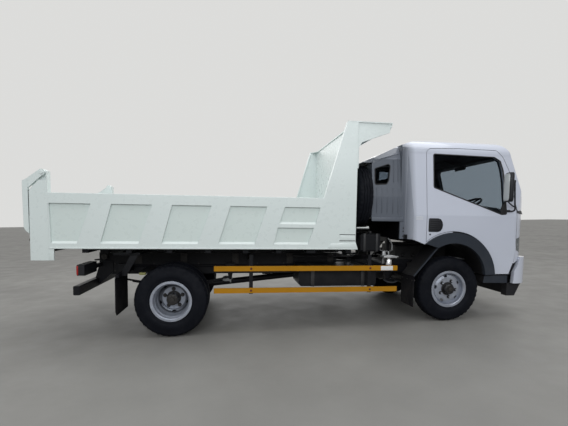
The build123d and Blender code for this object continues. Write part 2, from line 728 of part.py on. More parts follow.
def cab_form(d):
    """The cab's outside drawn in by d."""
    with BuildPart() as main:
        with BuildSketch(side(CAB_Y + 10)):       # side view
            with BuildLine():
                Polyline((2665 + d, 660 + d), (2665 + d, 2222 - d), (2790, 2268 - d))
                ThreePointArc((2790, 2268 - d), (3300, 2310 - d), (3800, 2300 - d))
                ThreePointArc((3800, 2300 - d), (3985 - d * 0.5, 2262 - d * 0.9), (4062 - d, 2170 - d * 0.4))
                Line((4062 - d, 2170 - d * 0.4), (4292 - d, 1425))
                ThreePointArc((4292 - d, 1425), (4322 - d, 1300), (4332 - d, 1150))
                Polyline((4332 - d, 1150), (4332 - d, 660 + d), (2665 + d, 660 + d))
            make_face()
        extrude(amount=2 * (CAB_Y + 10))
        with BuildSketch(across(2600)):           # front view, with tumblehome
            with BuildLine():
                Polyline((-CAB_Y + d, 600), (-CAB_Y + d, BELT_Z), (-872 + d, 2120))
                ThreePointArc((-872 + d, 2120), (-835 + d * 0.9, 2235 - d * 0.7), (-730 + d * 0.5, 2296 - d))
                ThreePointArc((-730 + d * 0.5, 2296 - d), (0, 2330 - d), (730 - d * 0.5, 2296 - d))
                ThreePointArc((730 - d * 0.5, 2296 - d), (835 - d * 0.9, 2235 - d * 0.7), (872 - d, 2120))
                Polyline((872 - d, 2120), (CAB_Y - d, BELT_Z), (CAB_Y - d, 600), (-CAB_Y + d, 600))
            make_face()
        extrude(amount=1900, mode=Mode.INTERSECT)
        with BuildSketch(level(600)):             # plan, narrowing to the back part
            with BuildLine():
                Polyline((2655 + d, CAB_Y - 90 - d), (2735 + d, CAB_Y - 86 - d), (2800 + d, CAB_Y + 5 - d), (4060, CAB_Y + 5 - d))
                ThreePointArc((4060, CAB_Y + 5 - d), (4270 - d * 0.7, CAB_Y - 90 - d * 0.7), (4332 - d, 700 - d * 0.5))
                Line((4332 - d, 700 - d * 0.5), (4340 - d, 0))
                Line((4340 - d, 0), (4332 - d, -700 + d * 0.5))
                ThreePointArc((4332 - d, -700 + d * 0.5), (4270 - d * 0.7, -CAB_Y + 90 + d * 0.7), (4060, -CAB_Y - 5 + d))
                Polyline((4060, -CAB_Y - 5 + d), (2800 + d, -CAB_Y - 5 + d), (2735 + d, -CAB_Y + 86 + d), (2655 + d, -CAB_Y + 90 + d), (2655 + d, CAB_Y - 90 - d))
            make_face()
        extrude(amount=1900, mode=Mode.INTERSECT)
    with BuildPart() as ext:
        with BuildSketch(side(870 - d)):
            with BuildLine():
                Polyline((2305 + d, 1351 + d), (2305 + d, 1985 - d * 0.6), (2330 + d, 2062 - d), (2665 + d, 2222 - d), (2720 + d, 2222 - d), (2720 + d, 1351 + d), close=True)
            make_face()
        extrude(amount=2 * (870 - d))
        with BuildSketch(across(2250)):
            with BuildLine():
                Polyline((-862 + d, 1300), (-862 + d, 1600), (-815 + d, 2050), (-745 + d * 0.6, 2200 - d * 0.6), (-600, 2300 - d), (600, 2300 - d),
                         (745 - d * 0.6, 2200 - d * 0.6), (815 - d, 2050), (862 - d, 1600), (862 - d, 1300), close=True)
            make_face()
        extrude(amount=700, mode=Mode.INTERSECT)
    with BuildPart() as whole:
        add(main.part)
        add(ext.part)
        # the underside: over the wheels an arch, ahead of it the foot well
        with BuildSketch(side(CAB_Y + 20)):
            with BuildLine():
                r = ARCH_OUT + d
                x0, z0 = 2945.0 - d * 0.2, 1038.0 + d
                a0 = math.atan2(z0 - ARCH_C[1], x0 - ARCH_C[0])
                xa, za = ARCH_C[0] + r * math.cos(a0), ARCH_C[1] + r * math.sin(a0)
                a1 = math.asin((800 + d - ARCH_C[1]) / r)
                xb, zb = ARCH_C[0] + r * math.cos(a1), 800 + d
                am = (a0 + a1) / 2
                Polyline((2500, 500), (2500, 1095 + d), (2790, 1095 + d), (xa, za))
                ThreePointArc((xa, za), (ARCH_C[0] + r * math.cos(am), ARCH_C[1] + r * math.sin(am)), (xb, zb))
                Polyline((xb, zb), (4130 - d, 800 + d), (4290 - d, 893 + d), (4500, 893 + d), (4500, 500), (2500, 500))
            make_face()
        extrude(amount=2 * (CAB_Y + 20), mode=Mode.SUBTRACT)
    return whole.part


def skirt_form(d):
    """The cab's side, drawn in by d, down to the doors' bottom edge."""
    with BuildPart() as sk:
        for s in (-1, 1):
            with BuildSketch(across(3500)):
                with Locations((s * (CAB_Y - d - (DOOR_T - d) / 2), 850)):
                    Rectangle(DOOR_T - d, 500)
            extrude(amount=640)
    return sk.part


CAB_OUT = cab_form(0.0)
CAB_IN = cab_form(CAB_T)
CAB_DOOR_IN = cab_form(DOOR_T)

with BuildPart() as front_bumper_cut:             # the cab stands in the bumper's back edge
    add(front_bumper.part)
    add(CAB_OUT, mode=Mode.SUBTRACT)
save(front_bumper_cut.part, "front_bumper")

with BuildPart() as front_valance_cut:
    add(front_valance.part)
    add(CAB_OUT, mode=Mode.SUBTRACT)
save(front_valance_cut.part, "front_valance")

DOOR_PTS = [  # body x, z round the door from the bottom of its back edge
    (2964.0, 1070.0), (2966.0, 2140.0), (3010.0, 2184.0), (3400.0, 2196.0), (3880.0, 2190.0), (3965.0, 2112.0), (4046.0, 1943.0),
    (4146.0, 1380.0), (4150.0, 1120.0), (4130.0, 840.0), (4066.0, 672.0), (3872.0, 672.0)]
WINDOW_PTS = [
    (3055.0, 2120.0), (3852.0, 2107.0), (3930.0, 2062.0), (3964.0, 1956.0), (3983.0, 1800.0), (3988.0, 1600.0), (4002.0, 1412.0),
    (3935.0, 1408.0), (3054.0, 1720.0)]


def door_face(grow):
    """The door's outline, larger by grow, with the arch's curve as its lower back edge."""
    with BuildSketch() as sk:
        with BuildLine():
            Polyline(*DOOR_PTS)
            a = math.atan2(DOOR_PTS[-1][1] - ARCH_C[1], DOOR_PTS[-1][0] - ARCH_C[0])
            b = math.atan2(DOOR_PTS[0][1] - ARCH_C[1], DOOR_PTS[0][0] - ARCH_C[0])
            m = (a + b) / 2
            rr = ARCH_OUT + 16
            ThreePointArc(DOOR_PTS[-1], (ARCH_C[0] + rr * math.cos(m), ARCH_C[1] + rr * math.sin(m)), DOOR_PTS[0])
        make_face()
        if grow:
            offset(amount=grow)
    return sk.sketch


def window_face():
    with BuildSketch() as sk:
        with BuildLine():
            Polyline(*WINDOW_PTS, close=True)
        make_face()
        fillet(sk.vertices(), 20)
    return sk.sketch


DOOR_CUT = door_face(GAP)
DOOR_FACE = door_face(0)
WINDOW_FACE = window_face()

with BuildPart() as cab_shell:
    add(CAB_OUT)
    add(CAB_IN, mode=Mode.SUBTRACT)

# the door walls: the cab's side from its outside to DOOR_T inside it
with BuildPart() as door_wall:
    add(CAB_OUT)
    add(skirt_form(0.0))
    add(CAB_DOOR_IN, mode=Mode.SUBTRACT)
    with BuildSketch(side(CAB_Y - DOOR_T)):       # only the sides
        with Locations((3500, 1000)):
            Rectangle(1800, 770)
    extrude(amount=2 * (CAB_Y - DOOR_T), mode=Mode.SUBTRACT)

GLASS_OUT = cab_form(20.0)
GLASS_IN = cab_form(26.0)

for tag, s in WHEELS:
    with BuildPart() as door:
        with BuildSketch(side(s * (CAB_Y + 15))):
            add(DOOR_FACE)
        extrude(amount=s * 170)
        add(door_wall.part, mode=Mode.INTERSECT)
        with BuildSketch(side(s * (CAB_Y + 15))):
            add(WINDOW_FACE)
        extrude(amount=s * 200, mode=Mode.SUBTRACT)
        with BuildSketch(side(s * (CAB_Y + 1))):   # handle recess
            with Locations((3060, 1262)):
                RectangleRounded(150, 150, 30)
        extrude(amount=s * 24, mode=Mode.SUBTRACT)
    save(door.part, f"door_{tag}")

    with BuildPart() as door_glass:
        with BuildSketch(side(s * (CAB_Y + 15))):
            add(WINDOW_FACE)
        extrude(amount=s * 200)
        add(GLASS_OUT, mode=Mode.INTERSECT)
        add(GLASS_IN, mode=Mode.SUBTRACT)
    save(door_glass.part, f"door_glass_{tag}")

    with BuildPart() as mirror:                   # arm on the door's front corner, glass facing back
        ym = s * 1085
        with BuildSketch(level(1555)):
            with Locations((3905, ym)):
                RectangleRounded(64, 176, 18, rotation=25 * s)
        extrude(amount=345)
        with BuildSketch(side(s * 1000)):
            with BuildLine():
                pts = [(3937, 1872), (4012, 1840), (4012, 1800), (4046, 1462), (4040, 1438), (4008, 1438), (4008, 1462), (4018, 1470), (3985, 1800), (3937, 1836)]
                Polyline(*pts, close=True)
            make_face()
        extrude(amount=-s * 22 if s > 0 else 22)
        with BuildSketch(across(4008)):
            with Locations((s * 966, 1451)):
                Rectangle(78, 26)
        extrude(amount=32)
        add(door.part, mode=Mode.SUBTRACT)
        with BuildSketch(across(3930)):
            with Locations((s * 1011, 1854)):
                Rectangle(30, 30)
        extrude(amount=40)
    save(mirror.part, f"mirror_{tag}")


def band(y0, y1, pts):
    """A prism of side-view points between y0 and y1."""
    with BuildPart() as b:
        with BuildSketch(side(max(y0, y1))):
            with BuildLine():
                Polyline(*pts, close=True)
            make_face()
        extrude(amount=abs(y1 - y0))
    return b.part


with BuildPart() as door_holes:                   # the openings the doors close
    for s in (-1, 1):
        with BuildSketch(side(s * (CAB_Y + 30))):
            add(DOOR_CUT)
        extrude(amount=s * 190)

# where the cab's panels meet: side-view outlines
ROOF_AREA = [(2150, 1990), (2330, 1990), (2665, 2150), (2700, 2166), (2712, 2166), (4115, 2166), (4115, 2450), (2150, 2450)]
BACK_AREA = [(2150, 1990), (2330, 1990), (2665, 2150), (2700, 2166), (2712, 2166), (2712, 1000), (2150, 1000)]
FRONT_UP = [(3700, 2166), (4400, 2166), (4400, 1420), (3700, 1420)]
FRONT_LOW = [(4040, 1440), (4400, 1440), (4400, 880), (4040, 780)]

with BuildPart() as cab_floor:
    add(band(-885, 885, [(2712, 1000), (2712, 1150), (2930, 1150), (3000, 1250), (3640, 1250), (3870, 846), (4130, 846), (4296, 938),
                         (4296, 890), (4100, 760), (2712, 760)]))
    add(cab_shell.part, mode=Mode.INTERSECT)
    add(door_holes.part, mode=Mode.SUBTRACT)
    for s in (-1, 1):                             # hinge lugs down to the tilt pivot
        with BuildSketch(side(s * 390 if s < 0 else 430)):
            with BuildLine():
                px, pz = CAB_PIVOT
                Polyline((px - 70, 810), (px + 70, 810), (px + 38, pz))
                ThreePointArc((px + 38, pz), (px, pz - 38), (px - 38, pz))
                Line((px - 38, pz), (px - 70, 810))
            make_face()
            with Locations(CAB_PIVOT):
                Circle(24.58, mode=Mode.SUBTRACT)
        extrude(amount=40)
    with BuildSketch(level(1089)):                # rubber feet on the frame's hoop
        with Locations((2735, 300), (2735, -300)):
            Rectangle(46, 60)
    extrude(amount=8)
save(cab_floor.part, "cab_floor")

with BuildPart() as cab_roof:
    add(band(-1000, 1000, ROOF_AREA))
    add(cab_shell.part, mode=Mode.INTERSECT)
    add(door_holes.part, mode=Mode.SUBTRACT)
    add(band(-812, 812, [(2207, 2000), (2207, 2013), (2330, 2066), (2345, 2040), (2300, 2000)]))
save(cab_roof.part, "cab_roof")

QUARTER_PTS = [(2342, 1742), (2488, 1750), (2512, 1795), (2532, 1966), (2512, 1990), (2342, 1930)]
with BuildPart() as cab_back:
    add(band(-1000, 1000, BACK_AREA))
    add(cab_shell.part, mode=Mode.INTERSECT)
    with BuildSketch(side(1000)):                 # quarter windows
        with BuildLine():
            Polyline(*QUARTER_PTS, close=True)
        make_face()
        fillet(vertices(), 20)
    extrude(amount=2000, mode=Mode.SUBTRACT)
    with BuildSketch(across(2280)):               # back window
        with Locations((0, 1780)):
            RectangleRounded(1150, 330, 50)
    extrude(amount=90, mode=Mode.SUBTRACT)
save(cab_back.part, "cab_back")

with BuildPart() as cab_sides:                    # pillars behind the doors
    for s in (-1, 1):
        add(band(s * 700, s * 1000, [(2712, 2166), (3300, 2166), (3300, 1000), (2712, 1000)]))
    add(cab_shell.part, mode=Mode.INTERSECT)
    add(door_holes.part, mode=Mode.SUBTRACT)
    add(cab_floor.part, mode=Mode.SUBTRACT)
save(cab_sides.part, "cab_sides")

LAMP_PTS = [(560, 930), (880, 930), (936, 965), (940, 1112), (870, 1140), (620, 1062)]   # y, z in front view
WINDSCREEN_PTS = [(-800, 1446), (800, 1446), (745, 2120), (-745, 2120)]
with BuildPart() as cab_front:                    # front panel with the windscreen's pillars
    add(band(-1000, 1000, FRONT_UP))
    add(band(-1000, 1000, FRONT_LOW))
    add(cab_shell.part, mode=Mode.INTERSECT)
    add(door_holes.part, mode=Mode.SUBTRACT)
    with BuildSketch(across(3900)):
        with BuildLine():
            Polyline(*WINDSCREEN_PTS, close=True)
        make_face()
        fillet(vertices(), 60)
    extrude(amount=600, mode=Mode.SUBTRACT)
    for s in (-1, 1):
        with BuildSketch(across(4150)):
            with BuildLine():
                Polyline(*[(s * y, z) for y, z in LAMP_PTS], close=True)
            make_face()
        extrude(amount=300, mode=Mode.SUBTRACT)
    add(cab_floor.part, mode=Mode.SUBTRACT)
save(cab_front.part, "cab_front_panel")

with BuildPart() as cab_glass:
    with BuildSketch(across(3900)):
        with BuildLine():
            Polyline(*WINDSCREEN_PTS, close=True)
        make_face()
        fillet(vertices(), 60)
    extrude(amount=600)
    with BuildSketch(side(1000)):
        with BuildLine():
            Polyline(*QUARTER_PTS, close=True)
        make_face()
        fillet(vertices(), 20)
    extrude(amount=2000)
    with BuildSketch(across(2280)):
        with Locations((0, 1780)):
            RectangleRounded(1150, 330, 50)
    extrude(amount=90)
    add(GLASS_OUT, mode=Mode.INTERSECT)
    add(GLASS_IN, mode=Mode.SUBTRACT)
save(cab_glass.part, "cab_glass")

with BuildPart() as headlamps:
    for s in (-1, 1):
        with BuildSketch(across(4150)):
            with BuildLine():
                Polyline(*[(s * y, z) for y, z in LAMP_PTS], close=True)
            make_face()
        extrude(amount=300)
    add(CAB_OUT, mode=Mode.INTERSECT)
    add(cab_form(30.0), mode=Mode.SUBTRACT)
    add(cab_floor.part, mode=Mode.SUBTRACT)
save(headlamps.part, "headlamps")



def ring(r, deg):
    return (ARCH_C[0] + r * math.cos(math.radians(deg)), ARCH_C[1] + r * math.sin(math.radians(deg)))


with BuildPart() as wheel_arches:                 # flares, liners and the steps ahead of them
    for s in (-1, 1):
        with BuildSketch(side(s * 985)):
            with BuildLine():
                ThreePointArc(ring(ARCH_OUT, 4), ring(ARCH_OUT, 68), ring(ARCH_OUT, 131.5))
                Line(ring(ARCH_OUT, 131.5), ring(ARCH_IN, 120))
                ThreePointArc(ring(ARCH_IN, 120), ring(ARCH_IN, 62), ring(ARCH_IN, 4))
                Line(ring(ARCH_IN, 4), ring(ARCH_OUT, 4))
            make_face()
        extrude(amount=s * 48)
        with BuildSketch(side(s * 960)):
            with BuildLine():
                ThreePointArc(ring(ARCH_IN, 4), ring(ARCH_IN, 60), ring(ARCH_IN, 116))
                Polyline(ring(ARCH_IN, 116), (2826, 648), (2818, 654), ring(ARCH_IN + 10, 117))
                ThreePointArc(ring(ARCH_IN + 10, 117), ring(ARCH_IN + 10, 60), ring(ARCH_IN + 10, 4))
                Line(ring(ARCH_IN + 10, 4), ring(ARCH_IN, 4))
            make_face()
        extrude(amount=s * 320)
        with BuildSketch(side(s * 940)):          # step
            with BuildLine():
                Polyline((3738, 562), (3752, 652), (4060, 652), (4062, 556), close=True)
            make_face()
        extrude(amount=s * 230)
        with BuildSketch(side(s * 870)):          # its hanger under the floor
            with Locations((3960, 722)):
                Rectangle(60, 156)
        extrude(amount=s * 30)
save(wheel_arches.part, "wheel_arches")

# ---- inside the cab --------------------------------------------------------
SEATS = [  # name, middle y, width
    ("driver", -480.0, 520.0), ("passenger", 330.0, 900.0)]
with BuildPart() as seat_base:
    with BuildSketch(across(2960)):
        for _, y, w in SEATS:
            with Locations((y, 1265)):
                Rectangle(w - 60, 70)
    extrude(amount=520)
    with BuildSketch(across(3080)):
        for _, y, w in SEATS:
            with Locations((y, 1238)):
                Rectangle(w - 120, 60)
    extrude(amount=400)
    with BuildSketch(side(900)):
        with BuildLine():
            r = ARCH_OUT + CAB_T
            Polyline((2500, 500), (2500, 1137), (2790, 1137), (ARCH_C[0] + (r + 1) * math.cos(math.radians(132)), ARCH_C[1] + (r + 1) * math.sin(math.radians(132))))
            ThreePointArc((ARCH_C[0] + (r + 1) * math.cos(math.radians(132)), ARCH_C[1] + (r + 1) * math.sin(math.radians(132))), (ARCH_C[0], ARCH_C[1] + r + 1),
                          (ARCH_C[0] + (r + 1) * math.cos(math.radians(20)), ARCH_C[1] + (r + 1) * math.sin(math.radians(20))))
            Polyline((ARCH_C[0] + (r + 1) * math.cos(math.radians(20)), ARCH_C[1] + (r + 1) * math.sin(math.radians(20))), (4300, 500), (2500, 500))
        make_face()
    extrude(amount=1800, mode=Mode.SUBTRACT)
save(seat_base.part, "seat_base")

for name, y, w in SEATS:
    with BuildPart() as cushion:
        with BuildSketch(side(y + w / 2)):
            with BuildLine():
                Polyline((2960, 1301), (3490, 1312), (3500, 1400), (3440, 1432), (2960, 1395), close=True)
            make_face()
        extrude(amount=w)
        fillet(cushion.edges().filter_by(GeomType.LINE), 14)
    with BuildPart() as back:
        with BuildSketch(side(y + w / 2)):
            with BuildLine():
                Polyline((2952, 1300), (3045, 1400), (2935, 1960), (2840, 1960), (2848, 1300), close=True)
            make_face()
        extrude(amount=w)
        with BuildSketch(side(y + w / 2)):
            with BuildLine():
                Polyline((2955, 1290), (3500, 1290), (3500, 1440), (2955, 1403), close=True)
            make_face()
        extrude(amount=w, mode=Mode.SUBTRACT)
    with BuildPart() as seat:
        add(cushion.part)
        add(back.part)
    save(seat.part, f"{name}_seat")

with BuildPart() as dashboard:
    with BuildSketch(side(865)):
        with BuildLine():
            Polyline((4300, 1040), (4060, 1060), (3960, 1200), (3930, 1330), (3960, 1415), (4060, 1440), (4200, 1436), (4300, 1400), close=True)
        make_face()
    extrude(amount=1730)
    with BuildSketch(side(-300)):                 # instrument hood
        with BuildLine():
            Polyline((3920, 1360), (3905, 1440), (3960, 1500), (4080, 1500), (4160, 1430), (4000, 1360), close=True)
        make_face()
    extrude(amount=360)
    add(CAB_IN, mode=Mode.INTERSECT)
save(dashboard.part, "dashboard")

SW_C = (3745.0, -480.0, 1520.0)                   # steering wheel
SW_TILT = 28.0                                    # from level
ct, st = math.cos(math.radians(SW_TILT)), math.sin(math.radians(SW_TILT))
sw_n = (ct * 0 - st * 1, 0, ct)                   # rises back towards the driver, body frame
sw_n = (sw_n[0] * COS + sw_n[2] * SIN, 0, -sw_n[0] * SIN + sw_n[2] * COS)
sw_plane = Plane(origin=at(*SW_C), x_dir=(0, 1, 0), z_dir=sw_n)
with BuildPart() as steering_wheel:
    with BuildSketch(Plane(origin=sw_plane.from_local_coords((212, 0, 0)), x_dir=(0, 1, 0), z_dir=(-sw_plane.y_dir.X, -sw_plane.y_dir.Y, -sw_plane.y_dir.Z))):
        Circle(14)
    revolve(axis=Axis(at(*SW_C), sw_n))
    with BuildSketch(sw_plane.offset(-30)):
        Circle(58)
    extrude(amount=26)
    for deg in (-8, 188, 270):
        d = (math.cos(math.radians(deg)), math.sin(math.radians(deg)))
        with BuildSketch(sw_plane.offset(-20)):
            with Locations((d[0] * 125, d[1] * 125)):
                Rectangle(165, 34, rotation=deg)
        extrude(amount=12)
    with BuildSketch(sw_plane.offset(-300)):      # column
        Circle(36)
    extrude(amount=280)
    add(dashboard.part, mode=Mode.SUBTRACT)
save(steering_wheel.part, "steering_wheel")

# ============================================================================
# Load bed
# ============================================================================
POST_IN_Y = 970.0
SHEET_X = 2036.0                                  # back face of the headboard sheet
with BuildPart() as bed_floor:
    with BuildSketch(level(BED_Z0)):
        with BuildLine():
            Polyline((-1314, POST_IN_Y), (BED_BACK, POST_IN_Y), (BED_BACK, WALL_IN_Y), (SHEET_X, WALL_IN_Y), (SHEET_X, -WALL_IN_Y), (BED_BACK, -WALL_IN_Y),
                     (BED_BACK, -POST_IN_Y), (-1314, -POST_IN_Y), close=True)
        make_face()
    extrude(amount=FLOOR_TOP - BED_Z0)
save(bed_floor.part, "bed_floor")

# recessed fields in the side: top left, top right, bottom right, bottom left (body x), z top, z bottom
FIELDS = [
    (-1188.0, -786.0, -928.0, -1176.0, 1449.0, 1036.0),
    (-584.0, -176.0, -318.0, -700.0, 1449.0, 1036.0),
    (29.0, 440.0, 292.0, -84.0, 1449.0, 1036.0),
    (642.0, 1040.0, 903.0, 512.0, 1449.0, 1036.0),
    (1235.0, 1636.0, 1584.0, 1176.0, 1449.0, 1261.0),
    (1160.0, 1566.0, 1500.0, 1116.0, 1221.0, 1036.0),
]
GUSSET_Y = BED_Y - 16
with BuildPart() as bed_sides:
    for s in (-1, 1):
        with BuildSketch(side(s * BED_Y)):
            with BuildLine():
                Polyline((BED_BACK, BED_Z0), (2082, BED_Z0), (2052, 1070), (2052, BED_Z1), (BED_BACK, BED_Z1), close=True)
            make_face()
        extrude(amount=s * (BED_Y - WALL_IN_Y))
        with BuildSketch(side(s * BED_Y)):
            for a, b, c, d, zt, zb in FIELDS:
                with BuildLine():
                    Polyline((a, zt), (b, zt), (c, zb), (d, zb), close=True)
                make_face()
        extrude(amount=s * RIB_RECESS, mode=Mode.SUBTRACT)
        with BuildSketch(side(s * BED_Y)):        # gusset up to the headboard
            with BuildLine():
                Polyline((1676, BED_Z1 - 4), (1925, HEAD_TOP - 4), (2052, HEAD_TOP - 4), (2052, BED_Z1 - 4), close=True)
            make_face()
        extrude(amount=s * 16)
        with BuildSketch(side(s * BED_Y)):        # its folded back edge
            with BuildLine():
                Polyline((1676, BED_Z1 - 4), (1925, HEAD_TOP - 4), (1941, HEAD_TOP - 4), (1692, BED_Z1 - 4), close=True)
            make_face()
        extrude(amount=s * 44)
save(bed_sides.part, "bed_sides")

with BuildPart() as bed_headboard:
    with BuildSketch(side(WALL_IN_Y)):            # sheet between the sides
        with BuildLine():
            Polyline((SHEET_X, BED_Z0), (SHEET_X, HEAD_TOP), (2052, HEAD_TOP), (2052, BED_Z0), close=True)
        make_face()
    extrude(amount=2 * WALL_IN_Y)
    with BuildSketch(side(GUSSET_Y)):             # and between the gussets
        with BuildLine():
            Polyline((SHEET_X, BED_Z1), (SHEET_X, HEAD_TOP), (2052, HEAD_TOP), (2052, BED_Z1), close=True)
        make_face()
    extrude(amount=2 * GUSSET_Y)
    with BuildSketch(level(HEAD_TOP - 4)):        # guard plate over the cab side
        with BuildLine():
            ThreePointArc((1925, -BED_Y), (1996, -950), (2024, -800))
            Line((2024, -800), (2024, 800))
            ThreePointArc((2024, 800), (1996, 950), (1925, BED_Y))
            Polyline((1925, BED_Y), (2452, BED_Y), (2452, -BED_Y), (1925, -BED_Y))
        make_face()
    extrude(amount=12)
    with BuildSketch(side(BED_Y)):                # front lip of the guard
        with BuildLine():
            Polyline((2440, HEAD_TOP + 8), (2452, HEAD_TOP + 8), (2438, HEAD_TOP - 50), (2428, HEAD_TOP - 50), close=True)
        make_face()
    extrude(amount=2 * BED_Y)
    for s in (-1, 1):                             # side plates of the guard
        with BuildSketch(side(s * (BED_Y - 12))):
            with BuildLine():
                Polyline((2052, HEAD_TOP), (2448, HEAD_TOP), (2422, 2307), (2103, 2189), (2068, 2129), (2068, 1900), (2052, 1900), close=True)
            make_face()
        extrude(amount=s * 26)
    for y in (-700, -233, 233, 700):              # upright ribs on the front
        with BuildSketch(side(y + 30)):
            with BuildLine():
                Polyline((2052, BED_Z0 + 24), (2052, 2350), (2070, 2310), (2070, BED_Z0 + 24), close=True)
            make_face()
        extrude(amount=60)
save(bed_headboard.part, "bed_headboard")

TPX, TPZ = TAIL_PIVOT
with BuildPart() as rear_posts:
    for s in (-1, 1):
        with BuildSketch(side(s * 1013)):         # inner part, with the hinge lug
            with BuildLine():
                Polyline((-1197, 861), (-1372, 861), (-1370, 1590), (TPX - 27, TPZ + 20))
                ThreePointArc((TPX - 27, TPZ + 20), (TPX, TPZ + 33), (TPX + 27, TPZ + 20))
                Polyline((TPX + 27, TPZ + 20), (-1197, 1700), (-1197, 861))
            make_face()
        extrude(amount=s * 43)
        with BuildSketch(side(s * BED_Y)):        # outer plate, below the arm
            with BuildLine():
                Polyline((-1197, 861), (-1372, 861), (-1370, 1576), (-1274, 1682), (-1197, 1682), close=True)
            make_face()
        extrude(amount=s * 37)
        with BuildSketch(side(s * BED_Y)):        # front flange
            with BuildLine():
                Polyline((-1197, 871), (-1205, 871), (-1205, 1772), (-1197, 1772), close=True)
            make_face()
        extrude(amount=s * 80)
        with BuildSketch(side(s * BED_Y)):        # hinge pin
            with Locations(TAIL_PIVOT):
                Circle(14)
        extrude(amount=s * 60)
save(rear_posts.part, "bed_rear_posts")

with BuildPart() as tailgate:
    with BuildSketch(side(958)):                  # sheet between the posts
        with BuildLine():
            Polyline((-1362, 985), (-1322, 985), (-1322, BED_Z1), (-1362, BED_Z1), close=True)
        make_face()
    extrude(amount=1916)
    with BuildSketch(side(BED_Y)):                # deep frame behind the posts
        with BuildLine():
            Polyline((-1378, 1138), (-1406, 1162), (-1426, 1194), (-1430, 1540), (-1418, BED_Z1), (-1378, BED_Z1), close=True)
        make_face()
    extrude(amount=2 * BED_Y)
    with BuildSketch(side(952)):
        with Locations((-1371, 1350)):
            Rectangle(20, 400)
    extrude(amount=1904)
    with BuildSketch(across(-1440)):              # hollows between the frame's ribs
        for y in (-742, -247, 247, 742):
            with Locations((y, 1365)):
                Rectangle(400, 270)
    extrude(amount=52, mode=Mode.SUBTRACT)
    for s in (-1, 1):                             # uprights of the frame's ends, up to the arms
        with BuildSketch(side(s * BED_Y)):
            with BuildLine():
                Polyline((-1378, 1500), (-1430, 1500), (-1430, 1669), (-1393, 1688), (-1378, 1688), close=True)
            make_face()
        extrude(amount=s * 28)
    for s in (-1, 1):                             # arms over the posts to the pins
        with BuildSketch(side(s * (BED_Y - 2))):
            with BuildLine():
                Polyline((-1430, 1669), (-1393, 1688), (TPX - 22, TPZ + 25))
                ThreePointArc((TPX - 22, TPZ + 25), (TPX + 33, TPZ), (TPX + 6, TPZ - 32))
                Polyline((TPX + 6, TPZ - 32), (-1378, 1600), (-1430, 1600), (-1430, 1669))
            make_face()
            with Locations(TAIL_PIVOT):
                Circle(14.08, mode=Mode.SUBTRACT)
        extrude(amount=s * 26)
save(tailgate.part, "tailgate")

# hoist geometry in the body frame
HOIST_EYE = (1550.0, 800.0)
BEARER_X = [-1290.0, -868.0, -430.0, -10.0, 400.0, 810.0, 1180.0, 1550.0, 1990.0]    # middles of the cross bearers
with BuildPart() as bed_bearers:
    for x in BEARER_X:
        w = 100 if x == HOIST_EYE[0] else 60
        with BuildSketch(across(x - w / 2 if x > -1200 else -1306)):
            with Locations((0, 958)):
                Rectangle(1990 if x > -1200 else 1938, 46)
        extrude(amount=w)
    for s in (-1, 1):
        with BuildSketch(across(-838)):           # bearers along the bed, over the subframe
            with Locations((s * 345, 912)):
                Rectangle(60, 52)
        extrude(amount=2885)
        with BuildSketch(side(s * 382 if s < 0 else 410)):     # hinge lugs
            with BuildLine():
                hx, hz = BED_HINGE
                Polyline((hx - 60, 950), (hx + 60, 950), (hx + 40, hz))
                ThreePointArc((hx + 40, hz), (hx, hz - 40), (hx - 40, hz))
                Line((hx - 40, hz), (hx - 60, 950))
            make_face()
            with Locations(BED_HINGE):
                Circle(24.58, mode=Mode.SUBTRACT)
        extrude(amount=28)
        with BuildSketch(side(s * 34 if s < 0 else 48)):       # hoist cheeks
            with BuildLine():
                ex, ez = HOIST_EYE
                Polyline((ex - 50, 940), (ex + 50, 940), (ex + 32, ez))
                ThreePointArc((ex + 32, ez), (ex, ez - 32), (ex - 32, ez))
                Line((ex - 32, ez), (ex - 50, 940))
            make_face()
            with Locations(HOIST_EYE):
                Circle(18, mode=Mode.SUBTRACT)
        extrude(amount=14)
save(bed_bearers.part, "bed_bearers")

HX, HZ = HOIST_EYE[0] - HOIST_BASE[0], HOIST_EYE[1] - HOIST_BASE[1]
HL = math.hypot(HX, HZ)
ux, uz = HX / HL, HZ / HL


def along(t, n=0.0):
    return (HOIST_BASE[0] + ux * t - uz * n, HOIST_BASE[1] + uz * t + ux * n)


hd = (ux * COS + uz * SIN, 0, -ux * SIN + uz * COS)
hp = Plane(origin=at(HOIST_BASE[0], 0, HOIST_BASE[1]), x_dir=(0, 1, 0), z_dir=hd)
with BuildPart() as hoist_cylinder:
    with BuildSketch(side(40)):
        with Locations(HOIST_BASE):
            Circle(52)
            Circle(27.88, mode=Mode.SUBTRACT)
    extrude(amount=80)
    with BuildSketch(hp.offset(48)):
        Circle(62)
    extrude(amount=952)
    with BuildSketch(hp.offset(62)):
        Circle(33, mode=Mode.ADD)
    extrude(amount=960, mode=Mode.SUBTRACT)
save(hoist_cylinder.part, "hoist_cylinder")

with BuildPart() as hoist_rod:
    with BuildSketch(hp.offset(160)):
        Circle(30)
    extrude(amount=HL - 160 - 30)
    with BuildSketch(side(26)):
        with Locations(HOIST_EYE):
            Circle(36)
            Circle(19, mode=Mode.SUBTRACT)
    extrude(amount=52)
save(hoist_rod.part, "hoist_rod")
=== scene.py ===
import bpy
import bmesh
import math
import random
from mathutils import Vector, Matrix, noise


